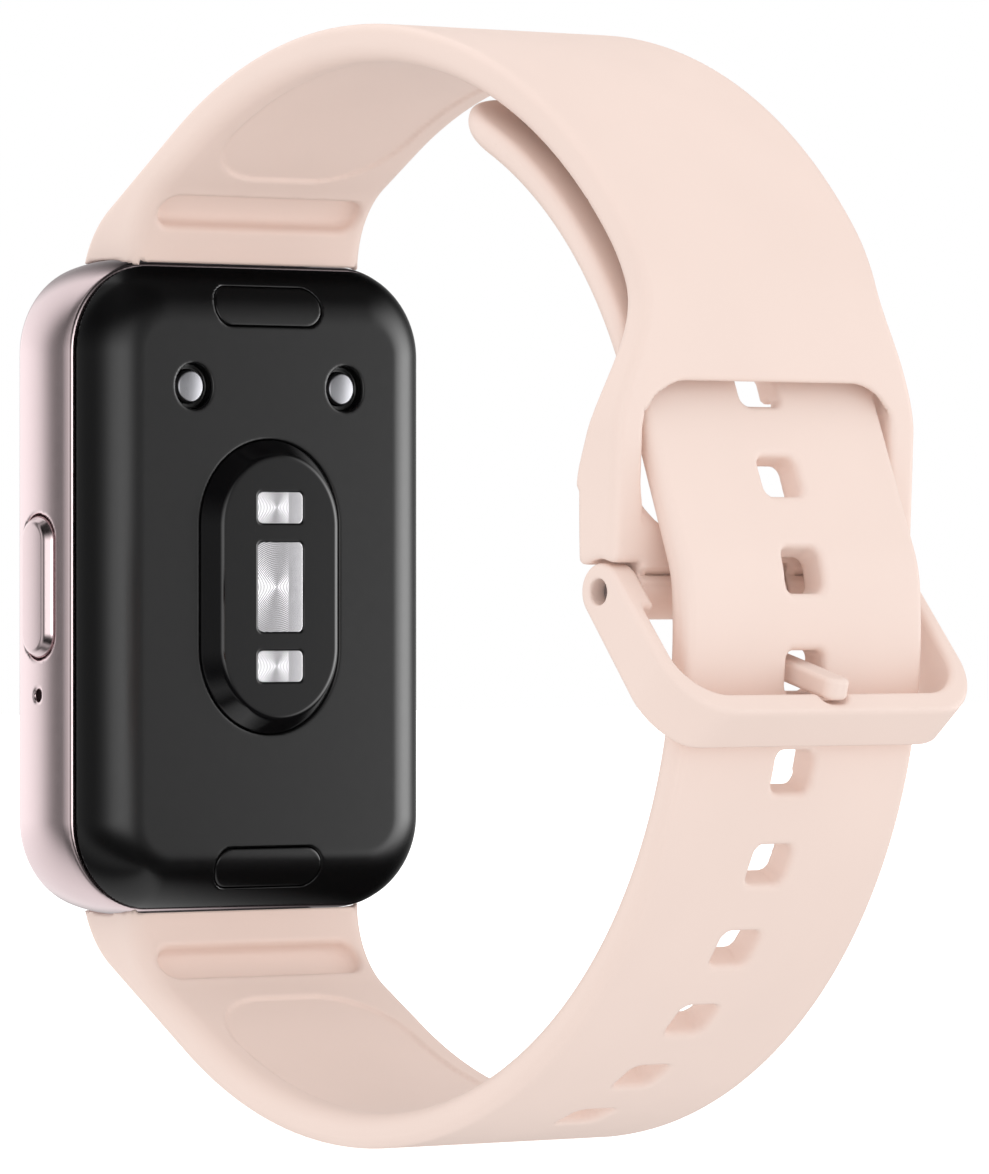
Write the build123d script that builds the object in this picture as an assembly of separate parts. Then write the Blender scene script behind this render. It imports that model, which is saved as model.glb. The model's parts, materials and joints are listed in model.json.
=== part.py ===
"""Fitness tracker band: a wrist tracker on a two-piece silicone strap with a pin buckle.

Millimetres. The origin is the middle of the wrist opening. +Y is the wrist's own axis, +Z runs up
along the tracker's long side, and +X points from the tracker across the wrist to the buckle.
"""

from build123d import *

import math
import os

# Display
PANEL_WIDTH = 22.6
PANEL_HEIGHT = 36.0
PANEL_THICKNESS = 0.6
PANEL_CORNER_R = 2.6
PANEL_GAP = 0.3
PANEL_BACK_GAP = 0.2
GLASS_BORDER = 1.5
GLASS_END_BORDER = 1.85
GLASS_WIDTH = PANEL_WIDTH + 2 * GLASS_BORDER
GLASS_HEIGHT = PANEL_HEIGHT + 2 * GLASS_END_BORDER
GLASS_THICKNESS = 0.8
GLASS_EDGE = 0.5
GLASS_GAP = 0.08
ADHESIVE_THICKNESS = 0.15

# Tracker body. Depths are measured from the back cover's flat face towards the glass.
BACK_X = -24.0
GLASS_RIM = 1.6
BODY_WIDTH = GLASS_WIDTH + 2 * GLASS_RIM
BODY_HEIGHT = GLASS_HEIGHT + 2 * GLASS_RIM
BODY_DEPTH = 9.9
BODY_CORNER_R = 6.2
GLASS_CORNER_R = BODY_CORNER_R - GLASS_RIM
BACK_EDGE_R = 4.1
BACK_LEAN = 8.0
SIDE_BOW_R = 14.0
FRONT_EDGE_R = 2.4
PARTING_DEPTH = 2.0
LIP_DEPTH = 9.3
SIDE_WALL = 1.7
END_WALL = 5.75
CAVITY_WIDTH = BODY_WIDTH - 2 * SIDE_WALL
CAVITY_HEIGHT = BODY_HEIGHT - 2 * END_WALL
CAVITY_CORNER_R = 4.4
COVER_WALL = 1.2
GLASS_SEAT_DEPTH = BODY_DEPTH - GLASS_THICKNESS - ADHESIVE_THICKNESS
PANEL_BAY_DEPTH = BODY_DEPTH - GLASS_THICKNESS - PANEL_THICKNESS - PANEL_BACK_GAP

# Back seal
GASKET_WIDTH = 0.45
GASKET_HEIGHT = 0.4
GASKET_LAND = 0.25

# Strap release
RELEASE_INSET = 3.05
RELEASE_Z = BODY_HEIGHT / 2 - RELEASE_INSET
RELEASE_LENGTH = 8.65
RELEASE_WIDTH = 2.53
RELEASE_TRAVEL = 0.8
RELEASE_FLANGE = 0.35
RELEASE_FLANGE_THICKNESS = 0.5
LEG_WIDTH = 0.9
LEG_HEIGHT = 1.1
LEG_GAP = 0.25
BAR_THICKNESS = 1.0
SPRING_THICKNESS = 0.15
SPRING_WIDTH = 0.88
CONNECTOR_HEAD_WIDTH = 14.8
CONNECTOR_HEAD_START = 3.1
CONNECTOR_HEAD_END = 6.4
CONNECTOR_HEAD_R = 0.6
CONNECTOR_PROUD = 1.35
CONNECTOR_BITE = 1.4
CONNECTOR_TONGUE_WIDTH = 5.8
CONNECTOR_TONGUE_START = 3.5
CONNECTOR_TONGUE_END = 5.5
CONNECTOR_TONGUE_R = 0.5
CONNECTOR_TIP_GAP = 0.4
CONNECTOR_HEAD_TOP = BODY_HEIGHT / 2 + CONNECTOR_PROUD
CONNECTOR_SHOULDER = BODY_HEIGHT / 2 - CONNECTOR_BITE
POCKET_SIDE_GAP = 0.3
POCKET_BACK_GAP = 0.5
POCKET_FRONT_GAP = RELEASE_TRAVEL + 2 * SPRING_THICKNESS
POCKET_LENGTH = 4.55
POCKET_WIDTH = CONNECTOR_HEAD_WIDTH + 2 * POCKET_SIDE_GAP
POCKET_START = CONNECTOR_HEAD_START - POCKET_BACK_GAP
POCKET_END = CONNECTOR_HEAD_END + POCKET_FRONT_GAP
POCKET_FLOOR_Z = BODY_HEIGHT / 2 - POCKET_LENGTH
LATCH_RECESS = 0.7
LATCH_BITE = 0.5
LATCH_GAP = 0.15

# Heart-rate sensor
DOME_WIDTH = 11.3
DOME_HEIGHT = 19.26
DOME_TOP_WIDTH = 9.4
DOME_RISE = 1.15
DOME_TOP_EDGE = 0.25
DOME_WALL = 0.8
DOME_FLANGE = 0.9
DOME_FLANGE_THICKNESS = 0.6
LENS_WIDTH = 3.75
LENS_R = 0.4
LENS_THICKNESS = 0.7
CENTRE_LENS_HEIGHT = 5.94
END_LENS_HEIGHT = 2.1
END_LENS_Z = 5.2
SENSOR_CHIP = 1.6
SENSOR_CHIP_HEIGHT = 0.5
BOARD_THICKNESS = 0.6
SENSOR_BOARD_GAP = 0.2

# Charging contacts
CONTACT_SPACING = 12.4
CONTACT_DROP = 5.3
CONTACT_Z = RELEASE_Z - CONTACT_DROP
CONTACT_R = 1.05
CONTACT_RECESS_R = 1.5
CONTACT_RECESS = 0.25
CONTACT_FLANGE = 0.3
CONTACT_EDGE = 0.12

# Side button and vent
SIDE_BUTTON_LENGTH = 9.34
SIDE_BUTTON_WIDTH = 3.36
SIDE_BUTTON_DEPTH = 6.1
SIDE_BUTTON_PROUD = 0.5
SIDE_BUTTON_TRAVEL = 0.3
SIDE_BUTTON_WELL = 0.85
SIDE_BUTTON_EDGE = 0.45
STEM_R = 0.75
RUNNING_GAP = 0.05
SLIDE_GAP = 0.12
SEAL_WIDTH = 0.45
SEAL_THICKNESS = 0.35
CLIP_R = 1.35
CLIP_THICKNESS = 0.3
CLIP_MOUTH = 0.9
SWITCH_SIZE = 3.2
SWITCH_THICKNESS = 1.0
SWITCH_BAY = 3.1
PLUNGER_R = 0.5
PLUNGER_LENGTH = 0.3
VENT_Z = -7.07
VENT_R = 0.42
VENT_MEMBRANE_R = 1.05
VENT_MEMBRANE_THICKNESS = 0.3

# Inside the tracker
BRACKET_DEPTH = 8.35
BRACKET_PLATE = 0.5
BRACKET_RIM = 0.8
BRACKET_GAP = 0.2
BOARD_FRONT_DEPTH = 4.5
BOARD_GAP = 0.1
SHIELD_HEIGHT = 1.0
SHIELD_SIDE_ROOM = 4.2
SHIELD_LENGTH = 13.0
SHIELD_EDGE = 0.3
SHIELD_CORNER_R = 0.8
SHIELD_INSET = 2.2
BATTERY_THICKNESS = 3.1
BATTERY_BUTTON_ROOM = 4.9
BATTERY_SIDE_ROOM = 2.1
BATTERY_MOTOR_ROOM = 9.75
BATTERY_END_ROOM = 1.85
BATTERY_R = 1.2
MOTOR_R = 4.0
MOTOR_HEIGHT = 3.0
MOTOR_WALL = 0.25
MOTOR_SIDE_INSET = 7.5
MOTOR_END_INSET = 5.3
MOTOR_Y = CAVITY_WIDTH / 2 - MOTOR_SIDE_INSET
MOTOR_Z = CAVITY_HEIGHT / 2 - MOTOR_END_INSET
MASS_R = 2.9
MASS_BORE_R = 0.97
MASS_HEIGHT = 1.2
LEAF_THICKNESS = 0.15
LEAF_SEAT = 0.5
SCREW_R = 0.4
SCREW_HEAD_R = 0.8
SCREW_HEAD = 0.35
SCREW_LENGTH = 2.4
BOSS_R = 1.3
SCREW_SIDE_INSET = 2.4
SCREW_END_INSET = 2.8
SCREW_Y = CAVITY_WIDTH / 2 - SCREW_SIDE_INSET
SCREW_Z = CAVITY_HEIGHT / 2 - SCREW_END_INSET
SCREW_PLACES = [(-SCREW_Y, SCREW_Z), (SCREW_Y, SCREW_Z), (-SCREW_Y, -SCREW_Z)]

# Strap. The loop's round stands so far from the tracker that the tracker cuts in by LOOP_INSET.
STRAP_WIDTH = 19.0
UPPER_THICKNESS = 2.35
LOWER_THICKNESS = 2.2
TAIL_THICKNESS = 1.95
CROWN_Z = 1.5
CROWN_R = 34.0
LOOP_INSET = 13.0
LOOP_X = BACK_X - LOOP_INSET + CROWN_R
LOWER_Z = -2.3
LOWER_SINK = 0.9
LOWER_R = CROWN_R - LOWER_SINK
STRAP_BITE = 0.85
ROOT_DEPTH = 1.39
ROOT_DROP = 2.48
ROOT_R = 7.0
ROOT_INNER_RISE = 3.9
ROOT_INNER_DROP = 0.38
ROOT_INNER_R = 6.0
SHOULDER_ANGLE = 38.0
SHOULDER_R = 13.8
SHOULDER_INNER_R = 11.15
TAIL_GAP = 1.3
TAIL_R = CROWN_R - UPPER_THICKNESS - TAIL_GAP
TAIL_TIP_R = 6.0
BEND_R = 8.0
BEND_ANGLE = 3.8
GROOVE_LENGTH = 16.3
GROOVE_WIDTH = 2.3
GROOVE_DEPTH = 0.9
GROOVE_ANGLE = 145.0
SKIN_GAP = 0.05
STRAP_GAP = 0.3

# Holes in the lower strap. The tail runs on over the loop as far as the buckled hole leaves it.
HOLE_COUNT = 12
HOLE_PITCH = 5.97
HOLE_WIDTH = 3.0
HOLE_LENGTH = 2.6
HOLE_R = 0.6
TIP_TO_HOLE = 15.3
BUCKLED_HOLE = 5
HOLE_DROP = 7.21
TAIL_RUN = TIP_TO_HOLE + BUCKLED_HOLE * HOLE_PITCH - HOLE_DROP
TAIL_END_ANGLE = math.degrees(TAIL_RUN / (TAIL_R - TAIL_THICKNESS / 2))

# Buckle pin, and the window, rails and hub above it
PIN_INSET = 6.25
PIN_X = LOOP_X + CROWN_R - PIN_INSET
PIN_Z = -0.3
PIN_R = 0.75
PIN_RECESS = 1.0
PIN_EDGE = 0.15
RAIL_WIDTH = 2.55
RAIL_SPAN = STRAP_WIDTH + 2 * RAIL_WIDTH
FLARE_TOP_RISE = 18.9
FLARE_FOOT_RISE = 9.6
RAIL_END_RISE = 1.65
WAIST_SETBACK = 2.65
WAIST_RISE = 6.5
RAIL_TOP_Z = PIN_Z + FLARE_TOP_RISE
RAIL_FULL_Z = PIN_Z + FLARE_FOOT_RISE
RAIL_END_Z = PIN_Z + RAIL_END_RISE
RAIL_WAIST = (PIN_X - WAIST_SETBACK, PIN_Z + WAIST_RISE)
RAIL_WAIST_R = 8.0
RAIL_WAIST_SHARE = 0.9
RAIL_LEAN = 20.0
RAIL_START_ANGLE = 34.0
WINDOW_PLAY = 0.5
WINDOW_WIDTH = STRAP_WIDTH + 2 * WINDOW_PLAY
WINDOW_TOP_RISE = 12.1
WINDOW_BOTTOM_RISE = 3.8
WINDOW_TOP_Z = PIN_Z + WINDOW_TOP_RISE
WINDOW_BOTTOM_Z = PIN_Z + WINDOW_BOTTOM_RISE
WINDOW_R = 3.0
WINDOW_SLANT = 62.0
WINDOW_REACH = 14.0
WINDOW_DEPTH = 8.7
HUB_PLAY = 0.35
HUB_WIDTH = STRAP_WIDTH + 2 * HUB_PLAY
HUB_R = 1.75
HUB_SHIFT = 0.45
TONGUE_NOTCH = 4.1

# Buckle
BUCKLE_ANGLE = 50.0
FRAME_OVER_RAIL = 0.03
FRAME_WIDTH = RAIL_SPAN + 2 * FRAME_OVER_RAIL
FRAME_LENGTH = 11.2
FRAME_EYE_R = 1.75
EYE_GAP = 0.25
FRAME_END_HALF = 1.95
FRAME_END_SLANT = 0.4
FRAME_CORNER_R = 4.4
ARM_EYE_WIDTH = 2.05
ARM_WIDTH = 1.15
ARM_STEP = 2.5
ARM_STEP_R = 0.4
OPENING_END = 9.45
OPENING_R = 3.0
FRAME_EDGE_R = 0.4
TONGUE_WIDTH = 1.8
TONGUE_THICKNESS = 1.35
TONGUE_EYE_WIDTH = 3.5
TONGUE_EYE_R = 1.5
TONGUE_REACH = 8.45
TONGUE_FALL = 15.0
TONGUE_BEND_R = 1.4
TONGUE_OVERLAP = 0.35
TONGUE_TIP_EASE = 0.1
NOTCH_GAP = 0.25


# ---------------------------------------------------------------- shared outlines and helpers

def depth_x(depth):
    """X of a plane lying so deep from the back face."""
    return BACK_X - depth


def slab(outline, back, front):
    """A Y-Z outline made solid between two depths."""
    return extrude(Plane.YZ.offset(depth_x(front)) * outline, front - back)


def rounded(width, height, radius):
    return RectangleRounded(width, height, radius)


def stadium(length, width):
    """A slot shape standing along Z."""
    return SlotOverall(length, width, rotation=90)


def cross_profile(face, half_width):
    """An X-Z face made solid across the strap."""
    return extrude(Plane.XZ * face, half_width, both=True)


def mirrored(shape):
    """The same shape at the tracker's other end."""
    return mirror(shape, Plane.XY)


def side_profile(grow):
    """X-Y face of the wall outside a corner's axis: rounded back, bowed side, rounded front."""
    lean = math.radians(BACK_LEAN)
    widest = BACK_EDGE_R * (1 - math.sin(lean)) + SIDE_BOW_R * math.sin(lean)
    front_lean = math.asin((LIP_DEPTH - widest - FRONT_EDGE_R) / (SIDE_BOW_R - FRONT_EDGE_R))
    bow_y = BODY_CORNER_R - SIDE_BOW_R
    back_y = bow_y + (SIDE_BOW_R - BACK_EDGE_R) * math.cos(lean)
    front_y = bow_y + (SIDE_BOW_R - FRONT_EDGE_R) * math.cos(front_lean)
    turn = math.degrees(front_lean)
    back_spot = (depth_x(BACK_EDGE_R), back_y)
    front_spot = (depth_x(LIP_DEPTH - FRONT_EDGE_R), front_y)
    back_arc = CenterArc(back_spot, BACK_EDGE_R + grow, 0, 90 - BACK_LEAN)
    bow = CenterArc((depth_x(widest), bow_y), SIDE_BOW_R + grow, 90 - BACK_LEAN, BACK_LEAN + turn)
    front_arc = CenterArc(front_spot, FRONT_EDGE_R + grow, 90 + turn, 90 - turn)
    foot = ((front_arc @ 1).X, 0)
    heel = ((back_arc @ 0).X, 0)
    rest = [Line(front_arc @ 1, foot), Line(foot, heel), Line(heel, back_arc @ 0)]
    return make_face([back_arc, bow, front_arc] + rest)


def tracker_envelope(grow=0.0):
    """The tracker's outer shape: one wall profile run along the sides and round the corners."""
    wide = BODY_WIDTH / 2 - BODY_CORNER_R
    tall = BODY_HEIGHT / 2 - BODY_CORNER_R
    profile = side_profile(grow)
    side = Pos(0, wide, 0) * extrude(profile, tall, both=True)
    end = Pos(0, 0, tall) * Rot(90, 0, 0) * extrude(profile, wide, both=True)
    corner = revolve(profile, Axis.X, 90)
    left_corner = Pos(0, wide, tall) * corner
    right_corner = Pos(0, -wide, tall) * Rot(90, 0, 0) * corner
    body = slab(Rectangle(2 * wide, 2 * tall), -grow, LIP_DEPTH + grow)
    for turn in (0, 180):
        for wall in (side, end, left_corner, right_corner):
            body += Rot(turn, 0, 0) * wall
    return body


def cavity_outline(offset_by=0.0):
    return rounded(
        CAVITY_WIDTH + 2 * offset_by, CAVITY_HEIGHT + 2 * offset_by, CAVITY_CORNER_R + offset_by
    )


def gasket_ring(extra=0.0):
    """The seal's outline, wider by extra on both sides."""
    outer = cavity_outline(GASKET_LAND + GASKET_WIDTH + extra)
    return outer - cavity_outline(GASKET_LAND - extra)


def on_round(disc, angle):
    """The point of a round at a polar angle in the X-Z plane."""
    turn = math.radians(angle)
    return (disc[0] + disc[2] * math.cos(turn), disc[1] + disc[2] * math.sin(turn))


def touch_angle(first, second, side):
    """Polar angle at which one straight line touches both rounds on the same side."""
    run = first[0] - second[0]
    rise = first[1] - second[1]
    reach = math.hypot(run, rise)
    lean = max(-1.0, min(1.0, round((second[2] - first[2]) / reach, 9)))
    return math.degrees(math.atan2(rise, run) + side * math.acos(lean))


def belt(rounds, start, end, side):
    """Arcs and tangent lines that run over a row of rounds; side 1 is anticlockwise."""
    turns = [start]
    for first, second in zip(rounds, rounds[1:]):
        turns.append(touch_angle(first, second, side))
    turns.append(end)
    edges = []
    for number, disc in enumerate(rounds):
        sweep = side * ((side * (turns[number + 1] - turns[number])) % 360)
        if 1e-6 < abs(sweep) < 359.999:
            edges.append(CenterArc(disc[:2], disc[2], turns[number], sweep))
        if number + 1 < len(rounds):
            leave = on_round(disc, turns[number + 1])
            arrive = on_round(rounds[number + 1], turns[number + 1])
            if math.dist(leave, arrive) > 1e-6:
                edges.append(Line(leave, arrive))
    return edges


# ---------------------------------------------------------------- strap

CROWN = (LOOP_X, CROWN_Z, CROWN_R)
CROWN_INNER = (LOOP_X, CROWN_Z, CROWN_R - UPPER_THICKNESS)
LOWER = (LOOP_X, LOWER_Z, LOWER_R)
ROOT = (depth_x(ROOT_DEPTH), BODY_HEIGHT / 2 - ROOT_DROP, ROOT_R)
ROOT_INNER = (BACK_X + ROOT_INNER_RISE, BODY_HEIGHT / 2 - ROOT_INNER_DROP, ROOT_INNER_R)
STRAP_END_Z = BODY_HEIGHT / 2 - STRAP_BITE


def below(disc):
    """A round of the upper strap moved to the lower strap's side."""
    return (disc[0], -disc[1], disc[2])


def nested(outer, angle, radius):
    """A smaller round inside another, touching it at a polar angle."""
    centre = on_round((outer[0], outer[1], outer[2] - radius), angle)
    return (centre[0], centre[1], radius)


def shrunk(disc, amount):
    return (disc[0], disc[1], disc[2] - amount)


SHOULDER = nested(CROWN, SHOULDER_ANGLE, SHOULDER_R)
SHOULDER_INNER = nested(CROWN_INNER, SHOULDER_ANGLE, SHOULDER_INNER_R)
HUB = (PIN_X - HUB_SHIFT, PIN_Z, HUB_R)
BEND = nested(LOWER, BEND_ANGLE, BEND_R)
TAIL = (LOOP_X, CROWN_Z, TAIL_R)


def lower_chain(inset, bend_inset, tail_inset, inner):
    """One side of the lower strap, from the tracker round the loop to the tail's end."""
    root = below(ROOT_INNER) if inner else below(ROOT)
    start = 180.0 if inner else 360.0 - root_start_angle()
    rounds = [root, shrunk(LOWER, inset), shrunk(BEND, bend_inset), shrunk(TAIL, tail_inset)]
    return belt(rounds, start, TAIL_END_ANGLE, 1)


def root_start_angle():
    """Polar angle at which the strap's outer side meets the tracker's end."""
    return 180.0 - math.degrees(math.asin((STRAP_END_Z - ROOT[1]) / ROOT_R))


def strap_root_groove(sign):
    """Cutter for the shallow groove across the strap's inner side near the tracker."""
    turn = math.radians(GROOVE_ANGLE)
    spot = on_round(ROOT_INNER, GROOVE_ANGLE)
    inward = (-math.cos(turn), 0, -sign * math.sin(turn))
    face = Plane(origin=(spot[0], 0, sign * spot[1]), x_dir=(0, 1, 0), z_dir=inward)
    cutter = face * SlotOverall(GROOVE_LENGTH, GROOVE_WIDTH)
    return extrude(cutter, GROOVE_DEPTH) + extrude(cutter, -GROOVE_DEPTH)


def connector_void(sign):
    """Space for the connector's head inside the strap's thick end."""
    return connector_head(SKIN_GAP, sign)


def upper_profile():
    outer = belt([ROOT, CROWN, SHOULDER, HUB], root_start_angle(), -180.0, -1)
    inner = belt([ROOT_INNER, CROWN_INNER, SHOULDER_INNER], 180.0, -RAIL_LEAN, -1)
    waist = Line(inner[-1] @ 1, RAIL_WAIST)
    rail = Line(RAIL_WAIST, outer[-1] @ 1)
    foot = Line(inner[0] @ 0, ((inner[0] @ 0).X, STRAP_END_Z))
    end = Line(foot @ 1, outer[0] @ 0)
    face = make_face(outer + inner + [waist, rail, foot, end])
    corner = face.vertices().sort_by_distance(Vertex(*RAIL_WAIST, 0))[0]
    turn = math.radians((waist % 1).get_angle(rail % 0))
    room = min(waist.length, rail.length) / math.tan(turn / 2)
    return fillet(corner, min(RAIL_WAIST_R, RAIL_WAIST_SHARE * room))


def rail_plan():
    """Y-Z outline of the buckle end: plain strap, flare, rails and the narrow hub."""
    half = STRAP_WIDTH / 2
    wide = RAIL_SPAN / 2
    top = CROWN_Z + CROWN_R + 1
    flare = Spline([(half, RAIL_TOP_Z), (wide, RAIL_FULL_Z)], tangents=[(0, -1), (0, -1)])
    right = [
        Line((0, top), (half, top)),
        Line((half, top), (half, RAIL_TOP_Z)),
        flare,
        Line((wide, RAIL_FULL_Z), (wide, RAIL_END_Z)),
        Line((wide, RAIL_END_Z), (HUB_WIDTH / 2, RAIL_END_Z)),
        Line((HUB_WIDTH / 2, RAIL_END_Z), (HUB_WIDTH / 2, PIN_Z - HUB_R - 1)),
        Line((HUB_WIDTH / 2, PIN_Z - HUB_R - 1), (0, PIN_Z - HUB_R - 1)),
    ]
    left = [mirror(edge, Plane.YZ) for edge in right]
    return make_face(right + left)


def window_cutters():
    """The tail's way through the strap: straight in, and slanted up along the tail."""
    outer_x = SHOULDER[0] + SHOULDER_R
    height = WINDOW_TOP_Z - WINDOW_BOTTOM_Z
    middle = (WINDOW_TOP_Z + WINDOW_BOTTOM_Z) / 2
    sketch = Plane.YZ.offset(outer_x) * Pos(0, middle) * rounded(WINDOW_WIDTH, height, WINDOW_R)
    slant = math.radians(WINDOW_SLANT)
    straight = extrude(sketch, WINDOW_DEPTH, dir=(-1, 0, 0))
    sloped = extrude(sketch, WINDOW_REACH, dir=(-math.cos(slant), 0, math.sin(slant)))
    return straight + extrude(sketch, UPPER_THICKNESS, dir=(1, 0, 0)) + sloped


def upper_strap():
    band = cross_profile(upper_profile(), RAIL_SPAN / 2)
    split_x = LOOP_X + CROWN_R * math.sin(math.radians(RAIL_START_ANGLE))
    far = 2 * CROWN_R
    arch = Box(far, STRAP_WIDTH, 2 * far, align=(Align.MAX, Align.CENTER, Align.CENTER))
    arch = Pos(split_x, 0, 0) * arch
    end = extrude(Plane.YZ.offset(split_x) * rail_plan(), far)
    band = band & (arch + end)
    band -= window_cutters()
    band -= strap_root_groove(1)
    band -= connector_void(1)
    band -= tracker_envelope(SKIN_GAP)
    band -= pin_bore()
    band -= eye_scoops()
    band -= strap_room()
    notch = Cylinder(TONGUE_EYE_R + NOTCH_GAP, TONGUE_NOTCH, rotation=(90, 0, 0))
    band -= Pos(PIN_X, 0, PIN_Z) * notch
    band -= tongue_slot()
    return band


def eye_scoops():
    """Rounded hollows under the rails in which the buckle frame's eyes turn."""
    scoop = Cylinder(FRAME_EYE_R + EYE_GAP, 2 * RAIL_SPAN, rotation=(90, 0, 0))
    middle = Box(8 * FRAME_EYE_R, HUB_WIDTH, 8 * FRAME_EYE_R)
    return Pos(PIN_X, 0, PIN_Z) * (scoop - middle)


def pin_bore():
    bore = Cylinder(PIN_R + RUNNING_GAP, 2 * FRAME_WIDTH, rotation=(90, 0, 0))
    return Pos(PIN_X, 0, PIN_Z) * bore


def tongue_slot():
    """Opens the hub's notch downwards and outwards for the tongue's bar."""
    side = TONGUE_EYE_R + NOTCH_GAP
    box = Box(4 * HUB_R, TONGUE_NOTCH, 2 * side, align=(Align.MIN, Align.CENTER, Align.CENTER))
    drop = Box(2 * side, TONGUE_NOTCH, 4 * HUB_R, align=(Align.CENTER, Align.CENTER, Align.MAX))
    return Pos(PIN_X, 0, PIN_Z) * (box + drop)


def middle_path():
    """The lower strap's middle line from its tail end towards the tracker."""
    rounds = [
        below(ROOT_INNER),
        shrunk(LOWER, LOWER_THICKNESS / 2),
        shrunk(BEND, LOWER_THICKNESS / 2),
        shrunk(TAIL, TAIL_THICKNESS / 2),
    ]
    return Wire(belt(rounds, 180.0, TAIL_END_ANGLE, 1))


def hole_place(number):
    """Centre of a hole in the strap and the outward direction there."""
    path = middle_path()
    along = path.length - TIP_TO_HOLE - number * HOLE_PITCH
    spot = path.position_at(along, position_mode=PositionMode.LENGTH)
    run = path.tangent_at(along, position_mode=PositionMode.LENGTH)
    return (spot.X, spot.Y), (run.Y, -run.X)


def hole_cutters():
    cutters = []
    for number in range(HOLE_COUNT):
        spot, outward = hole_place(number)
        face = Plane(
            origin=(spot[0], 0, spot[1]), x_dir=(0, 1, 0), z_dir=(outward[0], 0, outward[1])
        )
        sketch = face * rounded(HOLE_WIDTH, HOLE_LENGTH, HOLE_R)
        cutters.append(extrude(sketch, LOWER_THICKNESS, both=True))
    return cutters


def lower_strap():
    outer = lower_chain(0, 0, 0, inner=False)
    inner = lower_chain(LOWER_THICKNESS, LOWER_THICKNESS, TAIL_THICKNESS, inner=True)
    foot = Line(inner[0] @ 0, ((inner[0] @ 0).X, -STRAP_END_Z))
    end = Line(foot @ 1, outer[0] @ 0)
    tip = Line(outer[-1] @ 1, inner[-1] @ 1)
    band = cross_profile(make_face(outer + inner + [foot, end, tip]), STRAP_WIDTH / 2)
    band -= tail_corners()
    band -= hole_cutters()
    band -= strap_root_groove(-1)
    band -= connector_void(-1)
    band -= tracker_envelope(SKIN_GAP)
    return band


def strap_room():
    """The lower strap's run with a clearance all round, cut from what it passes over or through."""
    outer = lower_chain(-STRAP_GAP, -STRAP_GAP, -STRAP_GAP, inner=False)
    thick = LOWER_THICKNESS + STRAP_GAP
    inner = lower_chain(thick, thick, TAIL_THICKNESS + STRAP_GAP, inner=True)
    ends = [Line(outer[0] @ 0, inner[0] @ 0), Line(outer[-1] @ 1, inner[-1] @ 1)]
    return cross_profile(make_face(outer + inner + ends), STRAP_WIDTH / 2 + STRAP_GAP)


def tail_corners():
    """What the tail's rounded end leaves away, cut square to the strap."""
    middle = shrunk(TAIL, TAIL_THICKNESS / 2)
    end_x, end_z = on_round(middle, TAIL_END_ANGLE)
    turn = math.radians(TAIL_END_ANGLE)
    face = Plane(
        origin=(end_x, 0, end_z),
        x_dir=(-math.sin(turn), 0, math.cos(turn)),
        z_dir=(math.cos(turn), 0, math.sin(turn)),
    )
    block = Rectangle(2 * TAIL_TIP_R, STRAP_WIDTH + 2 * STRAP_GAP)
    reach = 2 * STRAP_WIDTH
    shape = Pos(-reach / 2, 0) * rounded(reach, STRAP_WIDTH, TAIL_TIP_R)
    return extrude(face * (block - shape), TAIL_TIP_R, both=True)


# ---------------------------------------------------------------- buckle

FALL = math.radians(BUCKLE_ANGLE)
PIN_POINT = (PIN_X, 0, PIN_Z)
ALONG = (math.cos(FALL), 0, -math.sin(FALL))
OUTWARD = (math.sin(FALL), 0, math.cos(FALL))
BUCKLE_SIDE = Plane(origin=PIN_POINT, x_dir=ALONG, z_dir=(0, -1, 0))
BUCKLE_PLAN = Plane(origin=PIN_POINT, x_dir=ALONG, z_dir=OUTWARD)


def buckle_pin():
    length = FRAME_WIDTH - 2 * PIN_RECESS
    pin = Pos(*PIN_POINT) * Cylinder(PIN_R, length, rotation=(90, 0, 0))
    return chamfer(pin.edges().filter_by(GeomType.CIRCLE), PIN_EDGE)


def tongue_line():
    """Corner and tip of the tongue's middle line, aimed through the middle of its hole."""
    spot, _ = hole_place(BUCKLED_HOLE)
    slope = math.tan(math.radians(TONGUE_FALL))
    corner_x = PIN_X + TONGUE_EYE_R + TONGUE_THICKNESS / 2 - TONGUE_OVERLAP
    corner = (corner_x, spot[1] + slope * (spot[0] - corner_x))
    tip_x = PIN_X + TONGUE_REACH
    tip = (tip_x, spot[1] - slope * (tip_x - spot[0]))
    return corner, tip


def tongue_bar(grow=0.0):
    """The tongue's bent bar from the pin through the hole to the crossbar."""
    corner, tip = tongue_line()
    width = TONGUE_WIDTH + 2 * grow
    half = TONGUE_THICKNESS / 2 + grow
    path = FilletPolyline((PIN_X, PIN_Z), corner, tip, radius=TONGUE_BEND_R)
    return cross_profile(trace(path, 2 * half), width / 2)


def buckle_tongue():
    bar = tongue_bar()
    ends = bar.edges().filter_by(Axis.Y).sort_by(Axis.X)[-2:]
    bar = fillet(ends, TONGUE_THICKNESS / 2 - TONGUE_TIP_EASE)
    eye = Pos(*PIN_POINT) * Cylinder(TONGUE_EYE_R, TONGUE_EYE_WIDTH, rotation=(90, 0, 0))
    return bar + eye - pin_bore()


def frame_side():
    """The frame seen along the pin: round eye, and a flat arm that thickens to the crossbar."""
    end_low = FRAME_LENGTH - FRAME_END_SLANT
    arm = Polygon(
        (0, -FRAME_EYE_R),
        (end_low, -FRAME_END_HALF),
        (FRAME_LENGTH, FRAME_END_HALF),
        (0, FRAME_EYE_R),
        align=None,
    )
    return Circle(FRAME_EYE_R) + arm


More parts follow.
